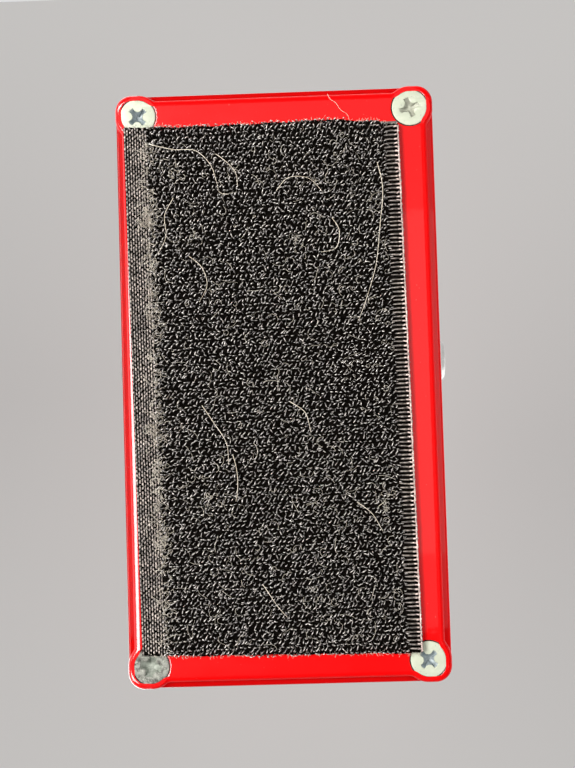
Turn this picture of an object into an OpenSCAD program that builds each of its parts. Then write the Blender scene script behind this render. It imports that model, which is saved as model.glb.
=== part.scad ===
// Compact effects pedal: a die-cast box with a screwed bottom plate, hook tape stuck
// under the plate, three control knobs, a foot switch, an indicator lamp, two side
// jacks and a power socket in the rear end.
// Axes: +Z up through the controls, +Y to the knob end, +X to the input jack.
// The origin is under the middle of the pedal, where the tips of the hooks rest.

/* [Enclosure] */
// Length of the enclosure over its corner lobes, along Y
case_l = 112.4; // [111:0.2:115]
// Width of the enclosure over its corner lobes, along X
case_w = 60.5; // [59.9:0.1:62.5]
// Height of the enclosure with its bottom plate
case_h = 31; // [31:0.5:34]
// Thickness of the cast side walls
wall = 2; // [1.6:0.1:2.2]
// Lean of the side walls off the vertical, in degrees
draft = 1.5; // [1:0.25:2]

/* [Bottom plate] */
// Thickness of the bottom plate
plate_t = 2; // [1.8:0.1:2.4]
// How far the plate's straight edges stand in from the corner lobes
plate_inset = 1.2; // [0.8:0.1:1.6]
// Distance of each screw from the two outer edges beside it
screw_inset = 4.4; // [4.3:0.1:4.8]
// Diameter of the flat screw heads
screw_head_d = 6.8; // [6.4:0.1:7]

/* [Hook tape] */
// Width of the hook tape
tape_w = 52; // [48:0.5:52.5]
// Length of the hook tape
tape_l = 98.8; // [90:0.2:99.4]
// Height of the tape from its adhesive to the tips of its hooks
tape_t = 2.2; // [1.8:0.1:2.6]
// Turn of the tape on the plate, in degrees
tape_turn = -0.68; // [-0.8:0.02:0.8]

/* [Controls] */
// Diameter of the three knobs
knob_d = 15; // [14.6:0.2:16]
// Height of the three knobs
knob_h = 14.2; // [13:0.2:16]
// Distance of the two outer knobs from the middle line
knob_x = 16; // [15.6:0.2:17]
// Diameter of the foot switch's button
button_d = 8; // [7.6:0.1:8.2]
// Travel of the foot switch's button
button_travel = 3; // [2:0.25:3.25]

/* [Sockets] */
// Bore of the two quarter-inch jacks
jack_bore_d = 6.5; // [6.4:0.05:6.6]
// Bore of the power socket
dc_bore_d = 5.7; // [5.6:0.05:6]
// Diameter of the power socket's centre pin
dc_pin_d = 2; // [1.9:0.05:2.1]

/* [Hidden] */
$fn = 64;
tiny = 0.01;

// Heights
glue_t = 0.3;
plate_z = tape_t + glue_t;
seam_z = plate_z + plate_t;
roof_z = plate_z + case_h;
roof_t = 2.2;
ceiling_z = roof_z - roof_t;

// The box's outline at the seam stands a little proud of the plate's lobes
rim_proud = 0.1;
rim_x = case_w / 2 + rim_proud;
rim_y = case_l / 2 + rim_proud;
corner_r = 3.1;
roof_edge_r = 2.5;

// Screws
screw_x = case_w / 2 - screw_inset;
screw_y = case_l / 2 - screw_inset;
screw_turns = [48, -20, 14, 42];
screw_shank_r = 1.7;
screw_head_t = 1.7;
thread_gap = 0.05;
head_gap = 0.15;
screw_l = 14;
boss_r = 3.2;

// Plate
lobe_r = 4.4;
lobe_fillet_r = 1.5;
lip_t = 1.4;
lip_h = 1.2;
lip_gap = 0.3;

// Tape
tape_x = 1.9;
tape_y = -0.3;
glue_margin = 0.2;

// Controls: the outer knobs share a row and the middle one stands nearer the switch
knob_row_y = 42;
middle_knob_y = 24.6;
lamp_y = 44.5;
switch_y = -37;
pot_r = 8.2;
pot_t = 8.6;
pot_bush_r = 3.45;
pot_bush_h = 5.6;
pot_shaft_r = 3;
pot_gap = 0.05;
hole_gap = 0.1;
pot_washer_t = 0.5;
pot_nut_t = 1.8;
pot_nut_af = 10;
knob_z = roof_z + 0.8;
knob_top = knob_z + knob_h;

// Lamp
lens_r = 2.5;
bezel_r = 4.4;
bezel_tube_r = 3.9;
bezel_t = 1.3;
lamp_nut_t = 2;

// Foot switch
switch_l = 18.6;
switch_w = 17.2;
switch_top = ceiling_z - 2.6;
switch_h = 13.2;
bushing_r = 5.9;
bushing_top = roof_z + 8;
switch_nut_af = 14;
switch_nut_t = 2.2;
switch_washer_t = 0.5;
button_r = button_d / 2;
button_top = bushing_top + button_travel + 2.4;
button_gap = 0.05;
collar_r = 4.8;
collar_t = 1.8;
spring_chamber_r = 5.2;
spring_packed_h = 5;
spring_chamber_floor = switch_top - collar_t - button_travel - spring_packed_h - 0.2;
lug_l = 4.6;
switch_lug_z = switch_top - switch_h - lug_l;

// Jacks
jack_y = 4.5;
jack_z = plate_z + 16.5;
jack_bore_r = jack_bore_d / 2;
jack_thread_r = 4.76;
jack_nose_x = rim_x + 2.15;
jack_flange_r = 7;
jack_flange_t = 1.5;
jack_nut_af = 12;
jack_nut_t = 1;
jack_washer_t = 0.3;
leaf_t = 0.4;
leaf_w = 4;
leaf_z = jack_z + 4.3;
leaf_root_x = 19.9;
leaf_tip_x = 5;
frame_z = jack_z + 6.2;
frame_t = 1.2;

// Power socket
dc_z = plate_z + 14.5;
dc_body_r = 5.9;
dc_flange_r = 7;
dc_flange_t = 1;
dc_face_y = case_l / 2;
dc_body_l = 14;
dc_bore_l = 9.5;
dc_nut_af = 14;
dc_nut_t = 2.4;

// Circuit board
board_z = plate_z + 12.5;
board_t = 1.6;
board_x = 26;
board_y0 = 16.5;
board_y1 = 40.5;
board_top = board_z + board_t;
pin_r = 0.4;

// Battery, standing on its long edge across the box
battery_l = 46.4;
battery_w = 17;
battery_h = 25.6;
battery_x0 = -25.6;
battery_y0 = -27.7;
battery_z0 = seam_z + 0.6;
terminal_h = 1.8;
terminal_pitch = 12.7;
snap_t = 3;
snap_x0 = battery_x0 + battery_l + terminal_h;
snap_y = battery_y0 + battery_w / 2;
snap_z = battery_z0 + battery_h / 2;
wire_r = 0.65;

// Routes of the wires inside, as points that their curves pass through
red_route = [
    [snap_x0 + 1.5, snap_y + 6.5, 9], [snap_x0 + 1.5, snap_y + 7.5, 9],
    [snap_x0 + 1.5, snap_y + 8.5, 9], [24.2, -8, 8.8], [24.2, -2, 8.6],
    [23.6, 8, 8.6], [22.4, 14, 8.8], [20.8, 19, 9.8], [20.4, 20, 12.4],
    [20.4, 20, board_z - 1.2], [20.4, 20, board_z]
];
black_route = [
    [snap_x0 + 1.5, snap_y + 6.5, 12], [snap_x0 + 1.5, snap_y + 7.5, 12],
    [snap_x0 + 1.5, snap_y + 8.5, 12], [22.6, -7, 10.4], [21.6, -2, 8.8],
    [21.2, 8, 8.8], [19.8, 14, 9], [17.6, 19, 10], [17.2, 20, 12.4],
    [17.2, 20, board_z - 1.2], [17.2, 20, board_z]
];
input_route = [
    [-20, 20, board_z], [-20, 20, board_z - 1.2], [-20, 20, 12.4], [-20.6, 18.6, 10],
    [-22.6, 12, 8.6], [-24.6, 2, 8.4], [-26.2, -7, 9], [-26.6, -13, 9.6], [-26.6, -20, 9.8],
    [-26.2, -28.4, 9], [-21, -32.4, 7.6], [-12, -34, 6.8], [-6.8, -35.9, 6.6],
    [-5.5, -37, 7.8], [-5.5, -37, 9.2], [-5.5, -37, switch_lug_z]
];
output_route = [
    [-17, 22.4, board_z], [-17, 22.4, board_z - 1.2], [-17, 22.4, 12.4], [-17.6, 20.4, 9.2],
    [-19.6, 12, 7], [-22.2, 2, 6.8], [-25.6, -7, 6.8], [-26.6, -13, 7.2], [-26.6, -20, 7.4],
    [-26.4, -28.6, 6.8], [-21, -36, 6.4], [-12, -40.4, 6.2], [-6.8, -41.8, 6.4],
    [-5.5, -42, 7.8], [-5.5, -42, 9.2], [-5.5, -42, switch_lug_z]
];

// How far a side wall has leaned in at height z
function lean(z) = (z - seam_z) * tan(draft);
function outer_x(z) = rim_x - lean(z);
function inner_x(z) = rim_x - wall - lean(z);
function inner_y(z) = rim_y - wall - lean(z);

jack_flange_x = inner_x(jack_z + jack_flange_r) - 0.02;
jack_washer_x = outer_x(jack_z - jack_flange_r) + 0.02;
dc_nut_y = inner_y(dc_z + dc_flange_r + 1) - 0.02;

// The three knobs' places, by name
left_at = [-knob_x, knob_row_y];
middle_at = [0, middle_knob_y];
right_at = [knob_x, knob_row_y];
pot_places = [left_at, middle_at, right_at];

// ---------------------------------------------------------------- shared shapes

module four_corners(x, y) {
    for (sx = [-1, 1])
        for (sy = [-1, 1])
            translate([sx * x, sy * y, 0])
                children();
}

module hex_nut(across_flats, thickness, bore_r) {
    difference() {
        cylinder(d = across_flats / cos(30), h = thickness, $fn = 6);
        translate([0, 0, -1])
            cylinder(r = bore_r, h = thickness + 2);
    }
}

module ring(outer_r, bore_r, thickness) {
    difference() {
        cylinder(r = outer_r, h = thickness);
        translate([0, 0, -1])
            cylinder(r = bore_r, h = thickness + 2);
    }
}

// A block whose sides lean in as they rise, with round corners and a soft top edge
module leaning_block(half_x, half_y, z0, z1, side_r, edge_r) {
    top_x = half_x - (z1 - z0) * tan(draft);
    top_y = half_y - (z1 - z0) * tan(draft);
    hull() {
        translate([0, 0, z0])
            four_corners(half_x - side_r, half_y - side_r)
                cylinder(r = side_r, h = tiny, $fn = 32);
        translate([0, 0, z1 - edge_r])
            four_corners(top_x - edge_r, top_y - edge_r)
                sphere(r = edge_r, $fn = 32);
        translate([0, 0, z1 - tiny])
            four_corners(top_x - edge_r, top_y - edge_r)
                cylinder(r = edge_r / 10, h = tiny, $fn = 32);
    }
}

// Turns a shape that points up so that it points out to +X, at the jacks' height
module at_jack() {
    translate([0, jack_y, jack_z])
        rotate([0, 90, 0])
            children();
}

// Turns a shape that points up so that it points out to +Y, at the socket's height
module at_dc() {
    translate([0, 0, dc_z])
        rotate([-90, 0, 0])
            children();
}

// ---------------------------------------------------------------- wires

function unit(v) = v / norm(v);

// A point on the smooth curve between p[i] and p[i + 1], at share t of the way
function curve_at(p, i, t) =
    let (
        n = len(p) - 1,
        a = i == 0 ? 2 * p[0] - p[1] : p[i - 1],
        b = p[i],
        c = p[i + 1],
        d = i + 2 > n ? 2 * p[n] - p[n - 1] : p[i + 2]
    )
    0.5 * (2 * b + (c - a) * t + (2 * a - 5 * b + 4 * c - d) * t * t
        + (3 * b - a - 3 * c + d) * t * t * t);

function smooth_route(p, steps) = [
    for (i = [0 : len(p) - 2])
        for (k = [0 : steps - 1])
            curve_at(p, i, k / steps),
    p[len(p) - 1]
];

function tangent(q, i) =
    i == 0 ? unit(q[1] - q[0])
    : i == len(q) - 1 ? unit(q[i] - q[i - 1])
    : unit(q[i + 1] - q[i - 1]);

// Directions square to the route that don't spin as they travel along it
function side_dirs(q, i, before) =
    let (t = tangent(q, i), s = unit(before - (before * t) * t))
    i == len(q) - 1 ? [s] : concat([s], side_dirs(q, i + 1, s));

module sweep_wire(route, r, steps, sides, start_side) {
    q = smooth_route(route, steps);
    dirs = side_dirs(q, 0, start_side);
    n = len(q);
    rings = [
        for (i = [0 : n - 1])
            let (t = tangent(q, i), u = dirs[i], v = cross(t, u))
            for (k = [0 : sides - 1])
                q[i] + r * (cos(360 * k / sides) * u + sin(360 * k / sides) * v)
    ];
    walls = [
        for (i = [0 : n - 2])
            for (k = [0 : sides - 1])
                let (a = i * sides + k, b = i * sides + (k + 1) % sides)
                [a, a + sides, b + sides, b]
    ];
    start_cap = [for (k = [0 : sides - 1]) k];
    end_cap = [for (k = [sides - 1 : -1 : 0]) (n - 1) * sides + k];
    polyhedron(points = rings, faces = concat(walls, [start_cap, end_cap]), convexity = 6);
}

// ---------------------------------------------------------------- casing

module enclosure_box() {
    color("crimson")
        difference() {
            leaning_block(rim_x, rim_y, seam_z, roof_z, corner_r, roof_edge_r);
            difference() {
                leaning_block(rim_x - wall, rim_y - wall, seam_z - tiny, ceiling_z, corner_r - 1, 1);
                four_corners(screw_x, screw_y)
                    translate([0, 0, seam_z - 1])
                        cylinder(r = boss_r, h = case_h);
            }
            four_corners(screw_x, screw_y)
                translate([0, 0, seam_z - 1])
                    cylinder(r = screw_shank_r + thread_gap, h = screw_l + 1);
            at_jack()
                translate([0, 0, -case_w])
                    cylinder(r = jack_thread_r + hole_gap, h = 2 * case_w);
            at_dc() {
                cylinder(r = dc_body_r + hole_gap, h = case_l);
                translate([0, 0, dc_face_y - dc_flange_t])
                    cylinder(r = dc_flange_r + hole_gap, h = case_l);
            }
            for (p = pot_places)
                translate([p[0], p[1], ceiling_z - 1])
                    cylinder(r = pot_bush_r + hole_gap, h = roof_t + 2);
            translate([0, lamp_y, ceiling_z - 1])
                cylinder(r = bezel_tube_r + hole_gap, h = roof_t + 2);
            translate([0, switch_y, ceiling_z - 1])
                cylinder(r = bushing_r + hole_gap, h = roof_t + 2);
        }
}

// One quarter of the plate's lobe, with the fillet that runs into each straight edge
module lobe_outline() {
    fillet_at = plate_edge_off() + lobe_fillet_r;
    fillet_along = sqrt(pow(lobe_r + lobe_fillet_r, 2) - pow(fillet_at, 2));
    touch = lobe_r / (lobe_r + lobe_fillet_r);
    square_side = screw_inset - corner_r;
    circle(r = lobe_r);
    square([screw_inset, square_side]);
    square([square_side, screw_inset]);
    translate([square_side, square_side])
        circle(r = corner_r);
    for (flip = [0, 1])
        mirror([flip, -flip])
            difference() {
                polygon([
                    [0, -fillet_along],
                    [plate_edge_off(), -fillet_along],
                    [fillet_at * touch, -fillet_along * touch],
                    [0, 0]
                ]);
                translate([fillet_at, -fillet_along])
                    circle(r = lobe_fillet_r);
            }
}

// Distance from a screw to the plate's straight edge beside it
function plate_edge_off() = screw_inset - plate_inset;

module plate_outline() {
    square([case_w - 2 * plate_inset, case_l - 2 * screw_inset], center = true);
    square([case_w - 2 * screw_inset, case_l - 2 * plate_inset], center = true);
    for (mx = [0, 1])
        for (my = [0, 1])
            mirror([mx, 0])
                mirror([0, my])
                    translate([screw_x, screw_y])
                        lobe_outline();
}

// A straight rib on the plate that locates it inside one wall
module lip_bar(length) {
    translate([-length / 2, -lip_t, 0])
        cube([length, lip_t, lip_h]);
}

module base_plate() {
    lip_z = seam_z - tiny;
    color("crimson") {
        difference() {
            translate([0, 0, plate_z])
                linear_extrude(plate_t)
                    plate_outline();
            four_corners(screw_x, screw_y) {
                translate([0, 0, plate_z])
                    cylinder(
                        r1 = screw_head_d / 2 + head_gap,
                        r2 = screw_shank_r + head_gap,
                        h = screw_head_t
                    );
                translate([0, 0, plate_z - 1])
                    cylinder(r = screw_shank_r + head_gap, h = plate_t + 2);
            }
        }
        for (side = [0, 180]) {
            rotate([0, 0, side])
                translate([0, inner_y(seam_z) - lip_gap, lip_z])
                    lip_bar(2 * (screw_x - boss_r - 1.5));
            rotate([0, 0, side + 90])
                translate([0, inner_x(seam_z) - lip_gap, lip_z])
                    lip_bar(2 * (screw_y - boss_r - 1.5));
        }
    }
}

module phillips_slot() {
    for (turn = [0, 90])
        rotate([0, 0, turn])
            translate([-1.8, -0.45, -1])
                cube([3.6, 0.9, 2.1]);
}

module base_screw(turn) {
    difference() {
        union() {
            cylinder(r1 = screw_head_d / 2, r2 = screw_shank_r, h = screw_head_t);
            cylinder(r = screw_shank_r, h = screw_l - 0.5);
        }
        rotate([0, 0, turn])
            phillips_slot();
    }
}

module base_screws() {
    color("gainsboro")
        for (i = [0 : 3])
            translate([
                (i % 2 == 0 ? 1 : -1) * screw_x,
                (i < 2 ? 1 : -1) * screw_y,
                plate_z
            ])
                base_screw(screw_turns[i]);
}

module tape_sheet(w, l, z, t) {
    translate([tape_x, tape_y, z])
        rotate([0, 0, tape_turn])
            translate([-w / 2, -l / 2, 0])
                cube([w, l, t]);
}

module tape_adhesive() {
    color("gray")
        tape_sheet(tape_w - 2 * glue_margin, tape_l - 2 * glue_margin, tape_t, glue_t);
}

module hook_tape() {
    color("#2b2a28")
        tape_sheet(tape_w, tape_l, 0, tape_t);
}

// ---------------------------------------------------------------- controls

// legs_to is 1 where the solder tags stand to the knob end of the pot, -1 otherwise
module pot_body(at, legs_to) {
    can_top = ceiling_z;
    can_z = can_top - pot_t;
    chamber_r = 7.2;
    tag_y = pot_r + 3.2;
    translate([at[0], at[1], 0]) {
        color("silver")
            difference() {
                union() {
                    translate([0, 0, can_z])
                        cylinder(r = pot_r, h = pot_t);
                    translate([0, 0, can_top])
                        cylinder(r = pot_bush_r, h = pot_bush_h);
                    translate([-7, legs_to > 0 ? 0 : -tag_y - 1, can_z + 1])
                        cube([14, tag_y + 1, 1.2]);
                    for (x = [-5, 0, 5])
                        translate([x, legs_to * tag_y, board_top])
                            cylinder(r = pin_r, h = can_z + 1.5 - board_top);
                }
                translate([0, 0, can_z + 2.6])
                    cylinder(r = chamber_r, h = 3.4);
                translate([0, 0, can_z + 2.6])
                    cylinder(r = pot_shaft_r + pot_gap, h = pot_t + pot_bush_h);
            }
    }
}

module pot_shaft(at) {
    disc_z = ceiling_z - pot_t + 3.4;
    color("silver")
        translate([at[0], at[1], disc_z]) {
            cylinder(r = 6.6, h = 1.4);
            cylinder(r = pot_shaft_r, h = knob_top - 3 - disc_z);
        }
}

module pot_washers() {
    color("silver")
        for (p = pot_places)
            translate([p[0], p[1], roof_z])
                ring(6, pot_bush_r + pot_gap, pot_washer_t);
}

module pot_nuts() {
    color("silver")
        for (p = pot_places)
            translate([p[0], p[1], roof_z + pot_washer_t])
                hex_nut(pot_nut_af, pot_nut_t, pot_bush_r + pot_gap);
}

// A fluted knob, hollow under its skirt to clear the nut, with a pointer line moulded in
module knob(at) {
    knob_r = knob_d / 2;
    nut_room_r = 6.3;
    flutes = 18;
    flute_r = 0.9;
    skirt_h = 2.4;
    color("#1b1b1c")
        translate([at[0], at[1], knob_z])
            difference() {
                cylinder(r = knob_r, h = knob_h);
                translate([0, 0, -1])
                    cylinder(r = nut_room_r, h = 1 + 5.6);
                cylinder(r = pot_shaft_r, h = knob_h - 3);
                translate([0, 0, knob_h - 0.6])
                    cylinder(r = knob_r - 2, h = 1);
                for (i = [0 : flutes - 1])
                    rotate([0, 0, (i + 0.5) * 360 / flutes])
                        translate([knob_r + flute_r * 0.35, 0, skirt_h])
                            cylinder(r = flute_r, h = knob_h, $fn = 24);
            }
}

module knob_cap(at) {
    cap_r = knob_d / 2 - 2;
    color("silver")
        translate([at[0], at[1], knob_top - 0.6])
            difference() {
                cylinder(r = cap_r, h = 0.6);
                translate([-0.5, 1.2, 0.3])
                    cube([1, cap_r - 2, 1]);
            }
}

module lamp_lens() {
    rim_z = roof_z - 6;
    dome_z = roof_z + bezel_t + 0.4;
    color("tomato")
        translate([0, lamp_y, 0]) {
            translate([0, 0, rim_z])
                cylinder(r = lens_r, h = dome_z - rim_z);
            intersection() {
                translate([0, 0, dome_z])
                    sphere(r = lens_r);
                translate([0, 0, dome_z])
                    cylinder(r = lens_r + 1, h = lens_r + 1);
            }
        }
}

module lamp_bezel() {
    color("silver")
        translate([0, lamp_y, 0])
            difference() {
                union() {
                    translate([0, 0, roof_z])
                        cylinder(r1 = bezel_r, r2 = bezel_r - 0.9, h = bezel_t);
                    translate([0, 0, roof_z - 5.4])
                        cylinder(r = bezel_tube_r, h = 5.5);
                }
                translate([0, 0, roof_z - 10])
                    cylinder(r = lens_r + 0.03, h = 20);
            }
}

module lamp_nut() {
    color("silver")
        translate([0, lamp_y, ceiling_z - lamp_nut_t])
            hex_nut(9.4, lamp_nut_t, bezel_tube_r + pot_gap);
}

// ---------------------------------------------------------------- foot switch

module footswitch_body() {
    color("royalblue")
        translate([0, switch_y, switch_top - switch_h])
            difference() {
                translate([-switch_w / 2, -switch_l / 2, 0])
                    cube([switch_w, switch_l, switch_h]);
                translate([0, 0, spring_chamber_floor - switch_top + switch_h])
                    cylinder(r = spring_chamber_r, h = switch_h);
            }
}

module footswitch_bushing() {
    flange_t = 0.8;
    color("silver")
        translate([0, switch_y, switch_top])
            difference() {
                union() {
                    cylinder(r = bushing_r, h = bushing_top - switch_top);
                    translate([-switch_w / 2, -switch_l / 2, 0])
                        cube([switch_w, switch_l, flange_t]);
                }
                translate([0, 0, -1])
                    cylinder(r = button_r + button_gap, h = bushing_top);
            }
}

module footswitch_button() {
    dome_h = 1.1;
    dome_r = (button_r * button_r + dome_h * dome_h) / (2 * dome_h);
    collar_z = switch_top - collar_t - 0.1;
    color("gainsboro")
        translate([0, switch_y, 0]) {
            translate([0, 0, collar_z])
                cylinder(r = collar_r, h = collar_t);
            translate([0, 0, collar_z])
                cylinder(r = button_r, h = button_top - dome_h - collar_z);
            intersection() {
                translate([0, 0, button_top - dome_h])
                    cylinder(r = button_r, h = dome_h);
                translate([0, 0, button_top - dome_r])
                    sphere(r = dome_r, $fn = 96);
            }
        }
}

module footswitch_spring() {
    wire = 0.35;
    coil_r = 3.9;
    turns = 4;
    spring_z = spring_chamber_floor + wire + 0.05;
    spring_h = switch_top - collar_t - 0.2 - wire - spring_z;
    per_turn = 20;
    route = [
        for (i = [0 : turns * per_turn])
            [
                coil_r * cos(360 * i / per_turn),
                coil_r * sin(360 * i / per_turn),
                spring_h * i / (turns * per_turn)
            ]
    ];
    color("silver")
        translate([0, switch_y, spring_z])
            sweep_wire(route, wire, 1, 6, [0, 0, 1]);
}

module footswitch_washers() {
    color("silver")
        for (z = [roof_z, ceiling_z - switch_washer_t])
            translate([0, switch_y, z])
                ring(7.8, bushing_r + pot_gap, switch_washer_t);
}

module footswitch_nuts() {
    color("silver")
        translate([0, switch_y, roof_z + switch_washer_t])
            hex_nut(switch_nut_af, switch_nut_t, bushing_r + pot_gap);
    color("silver")
        translate([0, switch_y, switch_top + 0.8])
            hex_nut(switch_nut_af, ceiling_z - switch_washer_t - switch_top - 0.8, bushing_r + pot_gap);
}

module footswitch_lugs() {
    color("goldenrod")
        for (x = [-5.5, 0, 5.5])
            for (y = [-5, 0, 5])
                translate([x - 1, switch_y + y - 0.3, switch_lug_z])
                    cube([2, 0.6, lug_l]);
}

// ---------------------------------------------------------------- jacks

module jack_sleeve() {
    nose_chamfer = 1.1;
    color("gainsboro")
        at_jack()
            difference() {
                union() {
                    translate([0, 0, jack_flange_x - jack_flange_t])
                        cylinder(r = jack_flange_r, h = jack_flange_t);
                    translate([0, 0, jack_flange_x - tiny])
                        cylinder(r = jack_thread_r, h = jack_nose_x - nose_chamfer - jack_flange_x + tiny);
                    translate([0, 0, jack_nose_x - nose_chamfer])
                        cylinder(r1 = jack_thread_r, r2 = jack_thread_r - 1.1, h = nose_chamfer);
                }
                cylinder(r = jack_bore_r, h = jack_nose_x + 1);
            }
}

module jack_frame() {
    plate_x = jack_flange_x - jack_flange_t;
    insulator_x = leaf_root_x + 0.1;
    insulator_l = plate_x - frame_t - insulator_x;
    color("silver")
        difference() {
            union() {
                translate([plate_x - frame_t, jack_y - 7, jack_z - 7])
                    cube([frame_t, 14, 14.4]);
                translate([leaf_tip_x + 0.4, jack_y - 5.5, frame_z])
                    cube([plate_x - leaf_tip_x - 0.4, 11, frame_t]);
                translate([insulator_x, jack_y - 3.4, leaf_z])
                    cube([insulator_l + tiny, 6.8, frame_z - leaf_z + tiny]);
            }
            at_jack()
                cylinder(r = jack_bore_r + 0.3, h = case_w);
        }
}

// The leaf that rests in the plug tip's groove, bent down at its free end
module tip_spring() {
    bend_l = 1.6;
    bend_h = 2.2;
    color("goldenrod")
        translate([0, jack_y, 0])
            rotate([90, 0, 0])
                translate([0, 0, -leaf_w / 2])
                    linear_extrude(leaf_w)
                        polygon([
                            [leaf_root_x, leaf_z],
                            [leaf_root_x, leaf_z + leaf_t],
                            [leaf_tip_x + bend_l, leaf_z + leaf_t],
                            [leaf_tip_x, leaf_z - bend_h],
                            [leaf_tip_x + 0.5, leaf_z - bend_h],
                            [leaf_tip_x + bend_l + 0.3, leaf_z]
                        ]);
}

module on_output_side() {
    mirror([1, 0, 0])
        children();
}

module jack_washers() {
    color("silver")
        for (side = [0, 1])
            mirror([side, 0, 0])
                at_jack()
                    translate([0, 0, jack_washer_x])
                        ring(6.4, jack_thread_r + pot_gap, jack_washer_t);
}

// Thin nuts with one flat turned to the bottom plate
module jack_nuts() {
    color("silver")
        for (side = [0, 1])
            mirror([side, 0, 0])
                at_jack()
                    translate([0, 0, jack_washer_x + jack_washer_t])
                        rotate([0, 0, 30])
                            hex_nut(jack_nut_af, jack_nut_t, jack_thread_r + pot_gap);
}

// ---------------------------------------------------------------- power socket

module dc_socket_body() {
    color("#202022")
        at_dc()
            difference() {
                union() {
                    translate([0, 0, dc_face_y - dc_flange_t])
                        cylinder(r = dc_flange_r, h = dc_flange_t);
                    translate([0, 0, dc_face_y - dc_body_l])
                        cylinder(r = dc_body_r, h = dc_body_l - tiny);
                }
                translate([0, 0, dc_face_y - dc_bore_l])
                    cylinder(r = dc_bore_d / 2, h = dc_bore_l + 1);
            }
}

module dc_centre_pin() {
    color("gainsboro")
        at_dc()
            translate([0, 0, dc_face_y - dc_bore_l])
                cylinder(d = dc_pin_d, h = dc_bore_l - 0.8);
}

module dc_socket_nut() {
    color("silver")
        at_dc()
            translate([0, 0, dc_nut_y - dc_nut_t])
                hex_nut(dc_nut_af, dc_nut_t, dc_body_r + pot_gap);
}

// ---------------------------------------------------------------- circuit board

module circuit_board() {
    color("darkgreen")
        translate([-board_x, board_y0, board_z])
            cube([2 * board_x, board_y1 - board_y0, board_t]);
}

module board_chips() {
    color("#222222")
        for (x = [-14, 13])
            difference() {
                translate([x - 4.7, 19, board_top])
                    cube([9.4, 6.4, 3.4]);
                translate([x - 4.7, 22.2, board_top + 3])
                    cylinder(r = 0.8, h = 1);
            }
}

module board_capacitors() {
    color("navy")
        for (p = [[-22.4, 37], [22.4, 37], [-3.4, 19.6], [3.4, 19.6], [23, 22.4]])
            translate([p[0], p[1], board_top])
                cylinder(r = 2.5, h = 5.2);
}

module board_resistors() {
    color("tan")
        for (side = [-1, 1])
            for (x = [6.8 : 4.4 : 20])
                translate([side * x, 25.6, board_top + 1])
                    rotate([-90, 0, 0])
                        cylinder(r = 0.9, h = 4.4);
}

// ---------------------------------------------------------------- battery

module battery() {
    edge_r = 2;
    color("dimgray")
        translate([battery_x0, snap_y, snap_z])
            rotate([0, 90, 0])
                linear_extrude(battery_l) {
                    square([battery_h - 2 * edge_r, battery_w], center = true);
                    square([battery_h, battery_w - 2 * edge_r], center = true);
                    for (sx = [-1, 1])
                        for (sy = [-1, 1])
                            translate([
                                sx * (battery_h / 2 - edge_r),
                                sy * (battery_w / 2 - edge_r)
                            ])
                                circle(r = edge_r);
                }
}

module at_terminals() {
    for (side = [0, 1])
        translate([snap_x0 - terminal_h, snap_y, snap_z + (side - 0.5) * terminal_pitch])
            rotate([0, 90, 0])
                children(side);
}

module battery_terminals() {
    color("silver")
        at_terminals() {
            cylinder(r = 2.9, h = terminal_h);
            cylinder(r = 4, h = terminal_h, $fn = 6);
        }
}

module battery_snap() {
    color("#191919")
        translate([snap_x0, snap_y - 6.5, snap_z - 12.6])
            cube([snap_t, 13, 25.2]);
}

module battery_foam() {
    color("slategray")
        translate([-19, battery_y0 + battery_w, seam_z + 2])
            cube([38, 3.2, 22]);
}

module battery_lead_red() {
    color("red")
        sweep_wire(red_route, wire_r, 4, 8, [0, 0, 1]);
}

module battery_lead_black() {
    color("#111111")
        sweep_wire(black_route, wire_r, 4, 8, [0, 0, 1]);
}

module input_lead() {
    color("yellow")
        sweep_wire(input_route, wire_r, 4, 8, [1, 0, 0]);
}

module output_lead() {
    color("white")
        sweep_wire(output_route, wire_r, 4, 8, [1, 0, 0]);
}

enclosure_box();
base_plate();
base_screws();
tape_adhesive();
hook_tape();
pot_body(left_at, -1);  // left_pot_body
pot_body(middle_at, 1);  // middle_pot_body
pot_body(right_at, -1);  // right_pot_body
pot_shaft(left_at);  // left_pot_shaft
pot_shaft(middle_at);  // middle_pot_shaft
pot_shaft(right_at);  // right_pot_shaft
pot_washers();
pot_nuts();
knob(left_at);  // left_knob
knob(middle_at);  // middle_knob
knob(right_at);  // right_knob
knob_cap(left_at);  // left_knob_cap
knob_cap(middle_at);  // middle_knob_cap
knob_cap(right_at);  // right_knob_cap
lamp_lens();
lamp_bezel();
lamp_nut();
footswitch_body();
footswitch_bushing();
footswitch_button();
footswitch_spring();
footswitch_washers();
footswitch_nuts();
footswitch_lugs();
jack_sleeve();  // input_jack_sleeve
jack_frame();  // input_jack_frame
tip_spring();  // input_tip_spring
on_output_side() jack_sleeve();  // output_jack_sleeve
on_output_side() jack_frame();  // output_jack_frame
on_output_side() tip_spring();  // output_tip_spring
jack_washers();
jack_nuts();
dc_socket_body();
dc_centre_pin();
dc_socket_nut();
circuit_board();
board_chips();
board_capacitors();
board_resistors();
battery();
battery_terminals();
battery_snap();
battery_foam();
battery_lead_red();
battery_lead_black();
input_lead();
output_lead();
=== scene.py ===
"""A compact effects pedal seen from below: the screwed bottom plate of a red cast box, with
hook tape stuck to it, faces the camera.

The object keeps the frame of its CAD model, so it stands on its tape with the controls up,
and the main camera looks up at it from underneath. Two stage planes serve the two kinds of
view: a floor that is seen only from above, and a backdrop above the object that is seen only
from below. Lengths on the object are in millimetres and become metres in the mesh. The stage
and the lights are placed in metres.
"""

import math

import bmesh
import bpy
import numpy as np
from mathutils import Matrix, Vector
from mathutils.geometry import tessellate_polygon


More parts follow.
